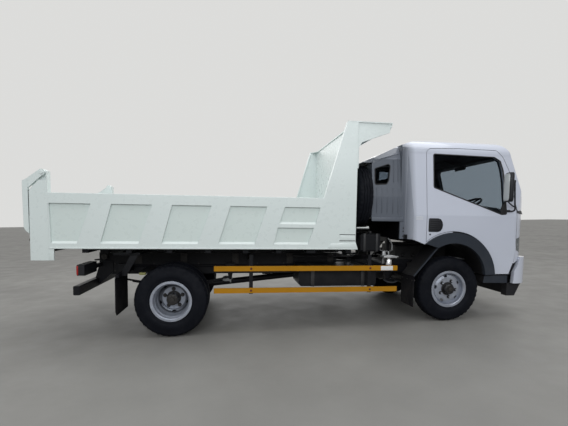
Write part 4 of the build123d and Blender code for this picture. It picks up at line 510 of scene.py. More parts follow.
class Piece:
    """Geometry of one piece, gathered from prisms, turned parts and tubes."""

    def __init__(self, name, body, mat, slot=None, angle=34.0):
        self.name, self.body, self.mat, self.slot, self.angle = name, body, mat, slot, angle
        self.bm = bmesh.new()

    def _take(self, tmp):
        me = bpy.data.meshes.new("tmp")
        tmp.to_mesh(me)
        tmp.free()
        self.bm.from_mesh(me)
        bpy.data.meshes.remove(me)

    def prism(self, pts, vec, bevel=0.0, seg=2):
        """pts in metres, pushed along vec; edges rounded by bevel mm."""
        tmp = bmesh.new()
        a = [tmp.verts.new(p) for p in pts]
        b = [tmp.verts.new(Vector(p) + vec) for p in pts]
        k = len(a)
        tmp.faces.new(a)
        tmp.faces.new(list(reversed(b)))
        for i in range(k):
            tmp.faces.new((a[i], b[i], b[(i + 1) % k], a[(i + 1) % k]))
        bmesh.ops.recalc_face_normals(tmp, faces=tmp.faces)
        if bevel:
            tmp.edges.ensure_lookup_table()
            hard = [e for e in tmp.edges if len(e.link_faces) == 2 and e.calc_face_angle(0) > math.radians(22)]
            bmesh.ops.bevel(tmp, geom=hard, offset=bevel * MM, segments=seg, profile=0.6, affect="EDGES", clamp_overlap=True)
        self._take(tmp)

    def side(self, pts, y0, y1, bevel=0.0, at=P, seg=2):
        """A side-view outline (x, z) between two y."""
        self.prism([at(x, y0, z) for x, z in pts], Vector((0, (y1 - y0) * MM, 0)), bevel, seg)

    def front(self, pts, x0, x1, bevel=0.0, at=P, seg=2):
        """A front-view outline (y, z) between two x."""
        v = at(x1, 0, 0) - at(x0, 0, 0)
        self.prism([at(x0, y, z) for y, z in pts], v, bevel, seg)

    def plan(self, pts, z0, z1, bevel=0.0, at=P, seg=2):
        v = at(0, 0, z1) - at(0, 0, z0)
        self.prism([at(x, y, z0) for x, y in pts], v, bevel, seg)

    def box(self, x0, x1, y0, y1, z0, z1, bevel=2.0, at=P, seg=2):
        self.side([(x0, z0), (x1, z0), (x1, z1), (x0, z1)], y0, y1, bevel, at, seg)

    def ring_frame(self, axis, hint=None):
        axis = axis.normalized()
        h = hint or (Vector((0, 0, 1)) if abs(axis.z) < 0.9 else Vector((1, 0, 0)))
        u = (h - axis * h.dot(axis)).normalized()
        return u, axis.cross(u)

    def lathe(self, centre, axis, profile, n=48, closed=False, start=0.0, hint=None):
        """profile: (radius, along the axis) in mm."""
        u, v = self.ring_frame(axis, hint)
        axis = axis.normalized()
        rings = []
        for r, h in profile:
            c = centre + axis * (h * MM)
            if r <= 1e-6:
                rings.append([self.bm.verts.new(c)])
            else:
                rings.append([self.bm.verts.new(c + (u * math.cos(start + 2 * math.pi * i / n) + v * math.sin(start + 2 * math.pi * i / n)) * (r * MM)) for i in range(n)])
        pairs = list(zip(rings, rings[1:])) + ([(rings[-1], rings[0])] if closed else [])
        for a, b in pairs:
            for i in range(n):
                j = (i + 1) % n
                if len(a) == 1 and len(b) == 1:
                    continue
                if len(a) == 1:
                    self.bm.faces.new((a[0], b[i], b[j]))
                elif len(b) == 1:
                    self.bm.faces.new((a[i], b[0], a[j]))
                else:
                    self.bm.faces.new((a[i], b[i], b[j], a[j]))

    def cyl(self, a, b, r, n=20, chamfer=0.0, start=0.0):
        """A bar from a to b with chamfered ends; n = 6 is a hexagon."""
        axis = b - a
        l = axis.length / MM
        c = min(chamfer, r * 0.4, l * 0.4)
        prof = [(0, 0), (r - c, 0), (r, c), (r, l - c), (r - c, l), (0, l)] if c > 0 else [(0, 0), (r, 0), (r, l), (0, l)]
        self.lathe(a, axis, prof, n, start=start)

    def bolt(self, a, axis, r=9.0, h=7.0, washer=True):
        """A hexagon head on a washer, standing on a along axis."""
        axis = axis.normalized()
        if washer:
            self.cyl(a - axis * MM, a + axis * 2.0 * MM, r * 1.35, 16, 0.5)
        self.cyl(a + axis * 1.5 * MM, a + axis * (2 + h) * MM, r, 6, 1.0, start=0.3)

    def tube(self, pts, r, n=10, closed=False):
        """A round bar along points (metres)."""
        pts = [Vector(p) for p in pts]
        clean = [pts[0]]
        for p in pts[1:]:
            if (p - clean[-1]).length > 1e-5:
                clean.append(p)
        if closed and (clean[0] - clean[-1]).length < 1e-5:
            clean.pop()
        pts = clean
        k = len(pts)
        rad = r if isinstance(r, (list, tuple)) else [r] * k
        tans = []
        for i in range(k):
            a = pts[i - 1] if (i > 0 or closed) else pts[i]
            b = pts[(i + 1) % k] if (i < k - 1 or closed) else pts[i]
            tans.append((b - a).normalized())
        u = self.ring_frame(tans[0])[0]
        rings = []
        for i in range(k):
            t = tans[i]
            u = (u - t * u.dot(t)).normalized()
            v = t.cross(u)
            stretch = 1.0
            if 0 < i < k - 1 or closed:
                c = (pts[i] - pts[i - 1]).normalized().dot(t)
                stretch = 1.0 / max(0.6, c)
            rings.append([self.bm.verts.new(pts[i] + (u * math.cos(2 * math.pi * j / n) + v * math.sin(2 * math.pi * j / n)) * (rad[i] * MM * stretch)) for j in range(n)])
        pairs = list(zip(rings, rings[1:]))
        for a, b in pairs:
            for i in range(n):
                j = (i + 1) % n
                self.bm.faces.new((a[i], b[i], b[j], a[j]))
        if closed:
            a, b = rings[-1], rings[0]
            best = min(range(n), key=lambda o: (a[0].co - b[o].co).length)
            for i in range(n):
                j = (i + 1) % n
                self.bm.faces.new((a[i], b[(i + best) % n], b[(j + best) % n], a[j]))
        else:
            self.bm.faces.new(list(reversed(rings[0])))
            self.bm.faces.new(rings[-1])

    def block(self, corner_fn, na, nb):
        """A closed block from a function (u, v, w) in 0..1 to a point; w = 0 is the base."""
        top = [[self.bm.verts.new(corner_fn(i / na, j / nb, 1.0)) for j in range(nb + 1)] for i in range(na + 1)]
        bot = [[self.bm.verts.new(corner_fn(i / na, j / nb, 0.0)) for j in range(nb + 1)] for i in range(na + 1)]
        for i in range(na):
            for j in range(nb):
                self.bm.faces.new((top[i][j], top[i + 1][j], top[i + 1][j + 1], top[i][j + 1]))
                self.bm.faces.new((bot[i][j], bot[i][j + 1], bot[i + 1][j + 1], bot[i + 1][j]))
        for i in range(na):
            self.bm.faces.new((top[i][0], bot[i][0], bot[i + 1][0], top[i + 1][0]))
            self.bm.faces.new((top[i][nb], top[i + 1][nb], bot[i + 1][nb], bot[i][nb]))
        for j in range(nb):
            self.bm.faces.new((top[0][j], top[0][j + 1], bot[0][j + 1], bot[0][j]))
            self.bm.faces.new((top[na][j], bot[na][j], bot[na][j + 1], top[na][j + 1]))

    def done(self, recalc=True):
        bm = self.bm
        if recalc:
            bmesh.ops.recalc_face_normals(bm, faces=bm.faces)
        lim = math.radians(self.angle)
        for f in bm.faces:
            f.smooth = True
        for e in bm.edges:
            if len(e.link_faces) == 2 and e.calc_face_angle(0) > lim:
                e.smooth = False
        me = bpy.data.meshes.new(self.name)
        bm.to_mesh(me)
        bm.free()
        ob = bpy.data.objects.new(self.name, me)
        scene.collection.objects.link(ob)
        me.materials.append(M[self.mat])
        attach(ob, self.body)
        self.ob = ob
        return ob


SIDES = (("right", -1), ("left", 1))

# ============================================================================
# Finishes of the parts that come from the CAD model
# ============================================================================
FINISH = {
    "chassis_black": ["frame_rails", "cross_members", "tipper_subframe", "rear_axle", "front_axle_beam", "leaf_springs", "propeller_shaft", "fuel_tank",
                      "battery_and_air_tank", "hydraulic_tank", "side_guard_posts", "rear_underrun_bar", "spare_carrier", "cab_floor", "bed_bearers",
                      "hoist_cylinder", "knuckle_right", "knuckle_left", "tie_rod"],
    "engine_iron": ["engine_and_gearbox", "exhaust_silencer"],
    "guard_amber": ["side_guard_rails"],
    "black_rubber": ["rear_mudflaps"],
    "black_plastic": ["tail_lamps", "front_valance", "steering_wheel", "seat_base", "mirror_right", "mirror_left"],
    "flare_grey": ["wheel_arches"],
    "tyre_rubber": ["spare_tyre", "front_tyre_right", "front_tyre_left", "rear_tyres_right", "rear_tyres_left"],
    "cab_white": ["cab_roof", "cab_sides", "cab_front_panel"],
    "back_white": ["cab_back"],
    "panel_white": ["front_bumper"],
    "door_white": ["door_right", "door_left"],
    "glass": ["cab_glass", "door_glass_right", "door_glass_left"],
    "lamp_glass": ["headlamps"],
    "grey_plastic": ["dashboard"],
    "seat_fabric": ["driver_seat", "passenger_seat"],
    "rod_chrome": ["hoist_rod"],
    "bed_white": ["bed_floor", "bed_sides", "bed_headboard", "bed_rear_posts", "tailgate"],
}
for key, names in FINISH.items():
    for name in names:
        for slot in NODES[name].material_slots:
            slot.material = M[key]
for name, centre, inner in [
    ("front_rim_right", G(3300, -830, 398), 0.0), ("front_rim_left", G(3300, 830, 398), 0.0),
    ("rear_rims_right", G(0, -767, 398), 0.0), ("rear_rims_left", G(0, 767, 398), 0.0), ("spare_rim", P(2204, -590, 1602), 0.0)]:
    key = "rim_silver_" + name
    M[key] = rim_material(key, centre, 9.0 if name == "spare_rim" else 0.0)
    for slot in NODES[name].material_slots:
        slot.material = M[key]

# ============================================================================
# Tyres with their tread
# ============================================================================
TREAD_HALF = [  # radius, distance from the middle, kind: plain, slotted shoulder, zigzag groove
    (209, 78, "p"), (216, 82, "p"), (230, 84.5, "p"), (235, 89, "p"), (241, 93, "p"), (247, 94.5, "p"), (253, 94.0, "p"), (262, 99.5, "p"), (266, 101.6, "p"),
    (285, 102.5, "p"), (304, 102.5, "p"), (309, 101.2, "p"), (330, 100.2, "p"), (334, 98.4, "p"), (350, 97, "p"), (366, 92.5, "p"), (372, 91.2, "p"),
    (379, 87.0, "s"), (388, 79.5, "s"), (393.5, 70.0, "s"), (395.6, 60.0, "s"), (396.2, 52.0, "p"), (396.8, 42.0, "g"), (388.5, 39.5, "g"), (388.5, 32.5, "g"),
    (397.6, 30.0, "g"), (398.0, 16.0, "p"), (398.0, 4.6, "g"), (389.5, 2.4, "g")]


def tyre(piece, centre, axis, width=1.0, radius=398.0, n=160):
    u, v = piece.ring_frame(axis)
    axis = axis.normalized()
    sec = [(r, w, k, 1) for r, w, k in TREAD_HALF] + [(r, w, k, -1) for r, w, k in reversed(TREAD_HALF)]
    rings = []
    for r, w, k, sgn in sec:
        ring_ = []
        for i in range(n):
            rr, ww = r, w * sgn
            if k == "s" and (i + (2 if sgn > 0 else 0)) % 4 < 2:
                rr -= 7.0 if r > 380 else 3.0
            if k == "g":
                q = i % 8
                ww += 4.5 * ((q if q < 4 else 8 - q) / 2.0 - 1.0)
            if rr > 300:
                rr *= radius / 398.0
            a = 2 * math.pi * i / n
            ring_.append(piece.bm.verts.new(centre + axis * (ww * width * MM) + (u * math.cos(a) + v * math.sin(a)) * (rr * MM)))
        rings.append(ring_)
    for a, b in list(zip(rings, rings[1:])) + [(rings[-1], rings[0])]:
        for i in range(n):
            j = (i + 1) % n
            piece.bm.faces.new((a[i], b[i], b[j], a[j]))


for tag, s in SIDES:
    p = Piece(f"front_tyre_{tag}_tread", f"front_wheel_{tag}", "tyre_rubber", slot="tyre_rubber", angle=38)
    tyre(p, G(3300, s * 830, 398), LF)
    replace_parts(p.done(), f"front_tyre_{tag}")
    p = Piece(f"rear_tyres_{tag}_tread", f"rear_wheels_{tag}", "tyre_rubber", slot="tyre_rubber", angle=38)
    tyre(p, G(0, s * 897, 398), LF)
    tyre(p, G(0, s * 637, 398), LF)
    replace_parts(p.done(), f"rear_tyres_{tag}")
p = Piece("spare_tyre_tread", "chassis", "tyre_rubber", slot="tyre_rubber", angle=38)
tyre(p, P(2204, -590, 1602), FW, 0.92, 384.0)
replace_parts(p.done(), "spare_tyre")


def polar(c, s, r, deg, y):
    """A point on a wheel: deg is counted as seen from outside the right-hand side."""
    a = math.radians(deg)
    return Vector((c.x + r * MM * math.cos(a), y * MM, c.z - s * r * MM * math.sin(a)))


for tag, s in SIDES:
    out = Vector((0, s, 0))
    c = G(3300, 0, 398)
    p = Piece(f"front_wheel_nuts_{tag}", f"front_wheel_{tag}", "dark_bolt")
    for k in range(5):
        a = polar(c, s, 103, 63 + 72 * k, s * 887)
        p.cyl(a, a + out * 0.004, 21, 20, 1.5)
        p.cyl(a, a + out * 0.021, 17, 6, 2.0, start=0.4)
    for k in range(6):
        a = polar(c, s, 37, 60 * k + 15, s * 949)
        p.bolt(a, out, 6.0, 5.0)
    p.lathe(Vector((c.x, s * 0.949, c.z)), out, [(0, 0), (26, 0), (26, 9), (22, 14), (0, 16)], 32)
    p.lathe(Vector((c.x, s * 0.8775, c.z)), out, [(63.5, 0), (66.5, 3), (66.5, 14), (63.5, 17)], 40)
    p.tube([polar(c, s, 168, 63 + 36, s * 860), polar(c, s, 176, 63 + 36, s * 885), polar(c, s, 178, 63 + 36, s * 905)], 4.0, 8)
    p.done()
    c = G(0, 0, 398)
    p = Piece(f"rear_wheel_nuts_{tag}", f"rear_wheels_{tag}", "dark_bolt")
    for k in range(5):
        a = polar(c, s, 103, 90 + 72 * k, s * 777)
        p.cyl(a, a + out * 0.005, 23, 20, 1.5)
        p.cyl(a, a + out * 0.026, 19, 6, 2.0, start=0.2)
    p.lathe(Vector((c.x, s * 0.8935, c.z)), out, [(0, 0), (60, 0), (62, 2), (62, 9), (59, 11), (30, 12), (26, 20), (0, 22)], 40)
    for k in range(8):
        a = polar(c, s, 47, 45 * k + 10, s * 904)
        p.bolt(a, out, 6.5, 6.0)
    p.tube([polar(c, s, 165, 126, s * 790), polar(c, s, 176, 126, s * 830), polar(c, s, 178, 126, s * 880)], 4.0, 8)
    p.done()

# ============================================================================
# Load bed: ledges, weld marks, slots, seams and fittings
# ============================================================================
FIELDS = [
    (-1188.0, -786.0, -928.0, -1176.0, 1449.0, 1036.0), (-584.0, -176.0, -318.0, -700.0, 1449.0, 1036.0),
    (29.0, 440.0, 292.0, -84.0, 1449.0, 1036.0), (642.0, 1040.0, 903.0, 512.0, 1449.0, 1036.0),
    (1235.0, 1636.0, 1584.0, 1176.0, 1449.0, 1261.0), (1160.0, 1566.0, 1500.0, 1116.0, 1221.0, 1036.0)]
p = Piece("bed_side_folds", "bed", "bed_white")
for s in (-1, 1):
    for a, b, c, d, zt, zb in FIELDS:
        p.front([(s * 1027.0, zb + 26), (s * 1049.8, zb - 1), (s * 1027.0, zb - 1)], d + 1, c + 5)
    p.box(-1192, 2066, s * 1048, s * 1056, 981, 996, 3.0)          # folded bottom edge
    p.side([(1728, 997), (1768, 1052), (2054, 1052), (2066, 997)], s * 1048, s * 1055, 3.0)
    p.tube([P(-1190, s * 1028, 1551), P(1700, s * 1028, 1551)], 6.0, 10)
    p.box(1866, 2044, s * 1048.5, s * 1051.5, 1087, 1143, 1.0)
p.done()
p = Piece("bed_weld_beads", "bed", "weld", angle=60)
for s in (-1, 1):
    for x in (-1030, -600, -170, 260, 690, 1120, 1550, 1950):
        p.tube([P(x - 40 + i * 8, s * (1000 + 0.8 * (i % 2)), 1004.5) for i in range(11)], 4.0, 6)
    p.tube([P(2034, s * 996, 1010 + i * 24) for i in range(23)], [4.0 + 0.8 * (i % 2) for i in range(23)], 6)
p.done()
p = Piece("bed_slots", "bed", "seal")
for s in (-1, 1):
    for z in (1080, 1150):
        p.box(1862, 2047, s * 1049, s * 1052.4, z - 3.5, z + 3.5, 0.5)
    p.cyl(P(-1370.2, s * 1049.3, 1573), P(-1370.2, s * 1050.6, 1573), 5.5, 18)
    p.box(-1372, -1369, s * 1049.3, s * 1050.6, 1318, 1562, 0.0)
p.done()
p = Piece("bed_post_plates", "bed", "bed_white")
for s in (-1, 1):
    p.box(-1198, -1150, s * 1030, s * 1049, 861, 982, 2.0)
    p.side([(-1200, 1380), (-1205, 1380), (-1205, 1556), (-1160, 1556), (-1160, 1549), (-1200, 1549)], s * 1000, s * 1045, 1.0)
p.done()
p = Piece("tailgate_latches", "bed", "dark_bolt")
for s in (-1, 1):                                   # hooks at the foot of the posts
    p.side([(-1360, 1035), (-1398, 1040), (-1412, 1064), (-1404, 1092), (-1396, 1090), (-1400, 1066), (-1390, 1054), (-1360, 1056)], s * 975, s * 987, 1.5)
    p.cyl(P(-1364, s * 960, 1046), P(-1364, s * 1000, 1046), 10, 18, 1.5)
p.done()
p = Piece("hinge_pin_heads", "bed", "bed_white")
for s in (-1, 1):
    p.cyl(P(-1247, s * 1049, 1758), P(-1247, s * 1055, 1758), 19, 20, 2.0)
p.done()
p = Piece("tailgate_pins", "tailgate", "bed_white")
for s in (-1, 1):
    p.cyl(P(-1388, s * 972, 1074), P(-1388, s * 990, 1074), 8, 16, 1.0)
    p.box(-1394, -1360, s * 962, s * 974, 1050, 1150, 2.0)
p.done()

# ============================================================================
# Cab skin: seals, ribs, handles, seams
# ============================================================================


def skin(z):
    """Half width of the cab's side at height z."""
    return 950.0 - max(0.0, z - 1385.0) * 0.1061


def shield(z):
    """x of the windscreen's plane at height z."""
    return 4062.0 + (2170.0 - z) * 0.3087


WINDOW_PTS = [(3055, 2120), (3852, 2107), (3930, 2062), (3964, 1956), (3983, 1800), (3988, 1600), (4002, 1412), (3935, 1408), (3054, 1720)]
QUARTER_PTS = [(2342, 1742), (2488, 1750), (2512, 1795), (2532, 1966), (2512, 1990), (2342, 1930)]


def flat_loop(pts, r, n=5):
    return [(q.x, q.y) for q in rounded([Vector((a, b, 0)) for a, b in pts], r, n)]


def ext_skin(z):
    return 862.0 - max(0.0, z - 1600.0) * 0.1044


for tag, s in SIDES:
    p = Piece(f"door_seal_{tag}", f"door_{tag}", "seal", angle=50)
    loop = flat_loop(WINDOW_PTS, 20)
    p.tube([P(x, s * (skin(z) - 1.5), z) for x, z in loop], 7.5, 10, closed=True)
    p.tube([P(x, s * (skin(z) - 57.5), z) for x, z in loop], 6.0, 8, closed=True)
    p.side([(3918, 1412), (3936, 1500), (3972, 1560), (3990, 1596), (4000, 1418)], s * 926, s * 945, 3.0)        # black corner under the mirror
    p.done()
    p = Piece(f"door_handle_{tag}", f"door_{tag}", "black_plastic", slot="black_plastic")
    dpts = [(2986, 1350), (2986, 1186), (3105, 1186), (3140, 1198), (3160, 1228), (3168, 1268), (3160, 1308), (3140, 1338), (3105, 1350)]
    p.side(flat_loop(dpts, [14, 14, 0, 8, 8, 8, 8, 8, 0]), s * 944, s * 953.5, 2.5)
    for i in range(5):
        p.box(3004, 3142 - abs(i - 2) * 8, s * 952.5, s * 955.5, 1214 + i * 24, 1225 + i * 24, 1.0)
    p.cyl(P(3008, s * 946, 1156), P(3008, s * 953, 1156), 10.5, 20, 2.0)
    p.done()
    # inside of the door: armrest, opener, window crank
    p = Piece(f"door_trim_{tag}", f"door_{tag}", "grey_plastic", slot="grey_plastic")
    p.side(flat_loop([(3250, 1330), (3700, 1300), (3840, 1345), (3830, 1392), (3690, 1366), (3262, 1392)], 18), s * 893, s * 838, 10.0)
    p.side(flat_loop([(3120, 1110), (3180, 1215), (3330, 1230), (3820, 1180), (3900, 960), (3860, 880), (3820, 1000), (3600, 1150), (3300, 1180)], 12), s * 893, s * 880, 5.0)
    p.cyl(P(3560, s * 893, 1250), P(3560, s * 868, 1250), 17, 20, 3.0)
    p.tube([P(3560, s * 870, 1250), P(3610, s * 862, 1225), P(3618, s * 862, 1222)], 6.5, 10)
    p.cyl(P(3614, s * 862, 1222), P(3614, s * 838, 1222), 11, 16, 3.0)
    p.box(3790, 3860, s * 893, s * 874, 1400, 1424, 4.0)
    p.done()

p = Piece("cab_seals", "cab", "seal", angle=50)
loop = flat_loop([(-800, 1446), (800, 1446), (745, 2120), (-745, 2120)], 60, 8)
p.tube([P(shield(z) - 1.0, y, z) for y, z in loop], 9.0, 10, closed=True)
for s in (-1, 1):
    p.tube([P(x, s * (ext_skin(z) - 1.0), z) for x, z in flat_loop(QUARTER_PTS, 20)], 6.5, 8, closed=True)
loop = flat_loop([(-575, 1615), (575, 1615), (575, 1945), (-575, 1945)], 50, 6)
p.tube([P(2304.5, y, z) for y, z in loop], 7.0, 8, closed=True)
p.done()

p = Piece("cab_cowl", "cab", "black_plastic", slot="black_plastic")
p.side([(shield(1452) + 1, 1452), (shield(1452) + 7, 1450), (4304, 1394), (4292, 1392)], -800, 800, 2.0)
for s in (-1, 1):                                   # wedges at the foot of the pillars
    a = [P(4112, s * (skin(1576) - 4), 1576), P(4146, s * (skin(1428) - 2), 1428), P(4246, s * 902, 1414), P(4262, s * 870, 1446), P(4236, s * 846, 1520)]
    p.prism(a, Vector((0.001, s * 0.007, 0)), 1.5)
p.done()
p = Piece("wipers", "cab", "black_plastic", slot="black_plastic")
for y0, y1, z1 in ((-560, 60, 1520), (60, 640, 1510)):
    a, b = P(shield(1440) + 12, y0, 1440), P(shield(z1) + 18, (y0 + y1) / 2, z1)
    p.cyl(a - Vector((0.012, 0, 0)), a + Vector((0.012, 0, 0)), 16, 18, 3.0)
    p.tube([a, a * 0.5 + b * 0.5 + Vector((0.012, 0, 0)), b], [8, 6, 4], 8)
    p.tube([P(shield(1478) + 9, y0 + 40, 1478), P(shield(z1) + 10, (y0 + y1) / 2, z1), P(shield(z1 + 30) + 9, y1, z1 + 30)], 5.5, 6)
p.done()

p = Piece("cab_ribs", "cab", "back_white", slot="cab_white")
for s in (-1, 1):                                   # pressed ribs and flange of the rear quarter
    for x, z0, z1 in ((2366, 1396, 1710), (2430, 1396, 1710), (2497, 1396, 1710), (2567, 1396, 1712), (2634, 1396, 1712), (2575, 1770, 2050), (2632, 1770, 2060)):
        pts = [P(x, s * (ext_skin(z) - 2.0), z) for z in (z0, z0 + 14, (z0 + z1) / 2, z1 - 14, z1)]
        p.tube(pts, [3, 7.5, 8, 7.5, 3], 10)
    p.box(2306, 2706, s * 858, s * 869, 1306, 1350, 5.0)
    p.tube([P(2648, s * 860, 1356), P(2686, s * 860, 1600), P(2686, s * (ext_skin(1980) + 2), 1980)], [5, 7, 5], 10)
    p.tube([P(2345, s * (ext_skin(2030) - 2), 2030), P(2640, s * (ext_skin(2048) - 2), 2120)], 5.0, 8)
p.done()
# a near-black sheet on the wall under the extension: painted shade, standing in for the shade there
p = Piece("rear_wall_shade_sheet", "cab", "matt_black")
p.box(2657, 2661.5, -828, 828, 1094, 1330, 1.0)
p.done()
p = Piece("bumper_brackets", "cab", "black_plastic", slot="black_plastic")
for s in (-1, 1):
    p.side(flat_loop([(4110, 446), (4296, 446), (4296, 640), (4110, 640)], 6), s * 798, s * 806, 2.0)
p.done()
p = Piece("pillar_slots", "cab", "plate_white")
for s in (-1, 1):
    for z in (1338, 1362):
        p.box(2823, 2912, s * 949, s * 952.0, z - 3.5, z + 3.5, 1.2)
p.done()

# mirrors: arms as bent bars, a thin housing and its glass
for tag, s in SIDES:
    c25, s25 = math.cos(math.radians(18)), math.sin(math.radians(18))

    def head(u, v, z):
        """u across the glass, outwards; v towards the glass side."""
        return P(3905 - u * s25 - v * c25, s * (1085 + u * c25 - v * s25), z)

    p = Piece(f"mirror_{tag}_case", f"door_{tag}", "black_plastic", slot="black_plastic")
    rr = []
    for z, k in [(1556, 0.72), (1560, 0.86), (1570, 0.95), (1590, 1.0), (1728, 1.0), (1866, 1.0), (1884, 0.95), (1895, 0.86), (1899, 0.72)]:
        oval = []
        for i in range(28):
            a = 2 * math.pi * i / 28
            cu, cv = math.cos(a), math.sin(a)
            u = 86 * k * math.copysign(abs(cu) ** 0.45, cu)
            v = math.copysign(abs(cv) ** 0.6, cv) * (27.0 if cv > 0 else 31.0) * k
            oval.append(p.bm.verts.new(head(u, v, z)))
        rr.append(oval)
    for a, b in zip(rr, rr[1:]):
        for i in range(28):
            p.bm.faces.new((a[i], b[i], b[(i + 1) % 28], a[(i + 1) % 28]))
    p.bm.faces.new(rr[0])
    p.bm.faces.new(list(reversed(rr[-1])))
    arm = [Vector(q) for q in (P(3946, s * 1008, 1756), P(3990, s * 996, 1768), P(4040, s * 990, 1800), P(4054, s * 989, 1800), P(4076, s * 989, 1462), P(4056, s * 972, 1446), P(4028, s * 942, 1450))]
    p.tube(rounded(arm, 26, 4, closed=False), 9.5, 12)
    p.tube(rounded([P(3950, s * 1010, 1590), P(3975, s * 998, 1556), P(4030, s * 989, 1520), P(4070, s * 989, 1500)], 16, 3, closed=False), 8.0, 10)
    p.cyl(P(4053, s * 989, 1826), P(4056, s * 989, 1794), 12, 16, 3.0)
    p.side(flat_loop([(4006, 1437), (4042, 1437), (4042, 1466), (4006, 1466)], 5), s * 938, s * 956, 2.0)
    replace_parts(p.done(), f"mirror_{tag}")
    p = Piece(f"mirror_{tag}_glass", f"door_{tag}", "mirror_face")
    g = []
    for i in range(40):
        a = 2 * math.pi * i / 40
        cu, cz = math.cos(a), math.sin(a)
        g.append(head(80 * math.copysign(abs(cu) ** 0.3, cu), 26.6, 1728 + 160 * math.copysign(abs(cz) ** 0.25, cz)))
    p.prism(g, head(0, 1.6, 0) - head(0, 0, 0))
    p.done()

# ============================================================================
# Nose: grille, lamps, bumper openings, plate
# ============================================================================
p = Piece("grille", "cab", "black_plastic", slot="black_plastic")
p.front(flat_loop([(-500, 1170), (500, 1170), (470, 1276), (-470, 1276)], 20), 4318, 4338, 3.0)
for i in range(4):
    z = 1182 + i * 24
    p.front([(-480 + i * 5, z), (480 - i * 5, z), (480 - i * 5, z + 9), (-480 + i * 5, z + 9)], 4330, 4343, 2.0)
p.front(flat_loop([(-430, 606), (430, 606), (470, 640), (470, 716), (-470, 716), (-470, 640)], 14), 4368, 4390, 3.0)
for i in range(4):
    p.front([(-450, 622 + i * 24), (450, 622 + i * 24), (450, 630 + i * 24), (-450, 630 + i * 24)], 4380, 4394, 1.5)
for s in (-1, 1):
    p.front(flat_loop([(s * 560, 640), (s * 740, 640), (s * 740, 730), (s * 560, 730)], 18), 4352, 4386, 3.0)
p.done()
p = Piece("front_plate_blank", "cab", "plate_white")
p.front(flat_loop([(-165, 772), (165, 772), (165, 866), (-165, 866)], 8), 4352, 4394.4, 1.2)
p.done()
p = Piece("lamp_insides", "cab", "bright")
for s in (-1, 1):
    for x, y, z, r in ((4292, 668, 1004, 46), (4270, 782, 1022, 46)):
        p.lathe(P(x - 36, s * y, z), FW, [(8, 0), (20, 4), (34, 16), (r - 4, 32), (r, 44), (r + 3, 44), (r + 3, 40), (r, 28), (24, -2), (8, -4)], 36, closed=True)
        p.lathe(P(x - 34, s * y, z), FW, [(0, 0), (8, 0), (9, 14), (7, 22), (0, 24)], 18)
p.done()
p = Piece("lamp_back", "cab", "black_plastic", slot="black_plastic")
for s in (-1, 1):
    p.front(flat_loop([(s * 568, 936), (s * 872, 936), (s * 872, 1100), (s * 620, 1054)], 6), 4196, 4206, 2.0)
p.done()
p = Piece("front_fog_lamps", "cab", "lamp_glass")
for s in (-1, 1):
    p.lathe(P(4372, s * 640, 685), FW, [(0, 0), (34, 0), (36, 8), (33, 15), (0, 18)], 32)
p.done()
p = Piece("side_turn_lamps", "cab", "amber_lens")
for s in (-1, 1):
    p.front(flat_loop([(s * 700, 664), (s * 730, 664), (s * 730, 706), (s * 700, 706)], 8), 4370, 4388, 3.0)
p.done()

# ============================================================================
# Inside the cab
# ============================================================================
p = Piece("cab_headliner", "cab", "trim_dark")
p.side([(2720, 2170), (2800, 2216), (3300, 2252), (3800, 2240), (3960, 2196), (3990, 2130), (3975, 2126), (3940, 2180), (3800, 2226), (3300, 2238), (2810, 2202), (2735, 2160)],
       -690, 690, 3.0)
for s in (-1, 1):                                   # visors
    p.side(flat_loop([(3800, 2214), (3950, 2160), (3954, 2148), (3804, 2200)], 4), s * 130, s * 640, 3.0)
p.done()
p = Piece("rear_lining", "cab", "trim_dark")
for s in (-1, 1):
    p.side(flat_loop([(2712, 1250), (2960, 1250), (2950, 1700), (2930, 2060), (2712, 2060)], 10), s * 795, s * 803, 2.0)
p.done()
p = Piece("inner_mirror", "cab", "black_plastic", slot="black_plastic")
p.tube([P(4000, 0, 2214), P(3976, 0, 2150), P(3972, 0, 2112)], [9, 6, 6], 10)
p.side(flat_loop([(3956, 2050), (3984, 2064), (3976, 2116), (3948, 2104)], 8), -118, 118, 7.0)
p.done()
p = Piece("dash_details", "cab", "trim_dark")
p.side([(3934, 1366), (3924, 1432), (3936, 1436), (3946, 1368)], -650, -310, 3.0)          # instrument bezel
for y in (-700, -250, 250, 700):                    # outlets
    p.side([(3936, 1300), (3926, 1344), (3938, 1350), (3950, 1304)], y - 50, y + 50, 3.0)
    for i in range(3):
        p.side([(3932, 1308 + i * 13), (3926, 1313 + i * 13), (3934, 1315 + i * 13), (3940, 1310 + i * 13)], y - 44, y + 44, 0.5)
p.side([(3942, 1226), (3930, 1292), (3942, 1296), (3954, 1230)], -120, 90, 3.0)            # blank radio and switches
p.side([(3964, 1110), (3946, 1200), (3958, 1204), (3976, 1114)], 160, 640, 5.0)            # glove box lid
p.side([(3958, 1204), (3950, 1214), (3956, 1220), (3966, 1210)], 360, 440, 2.0)
for i in range(3):
    p.cyl(P(3940, -90 + i * 70, 1190), P(3922, -90 + i * 70, 1186), 18, 20, 4.0)
p.done()
p = Piece("levers_and_pedals", "cab", "black_plastic", slot="black_plastic")
p.tube([P(3560, -60, 1180), P(3560, -60, 1240), P(3590, -70, 1420), P(3588, -74, 1490)], [46, 26, 7, 7], 14)
p.lathe(P(3588, -74, 1476), UP, [(0, 0), (16, 4), (24, 20), (24, 34), (14, 46), (0, 50)], 24)
p.tube([P(3420, -150, 1300), P(3490, -150, 1332), P(3600, -150, 1400)], [14, 10, 10], 12)
for y, w in ((-660, 26), (-520, 40), (-360, 34)):
    p.tube([P(3990, y, 1130), P(3930, y, 1010), P(3900, y, 960)], 7, 8)
    p.side(flat_loop([(3884, 930), (3896, 926), (3918, 990), (3906, 994)], 4), y - w, y + w, 3.0)
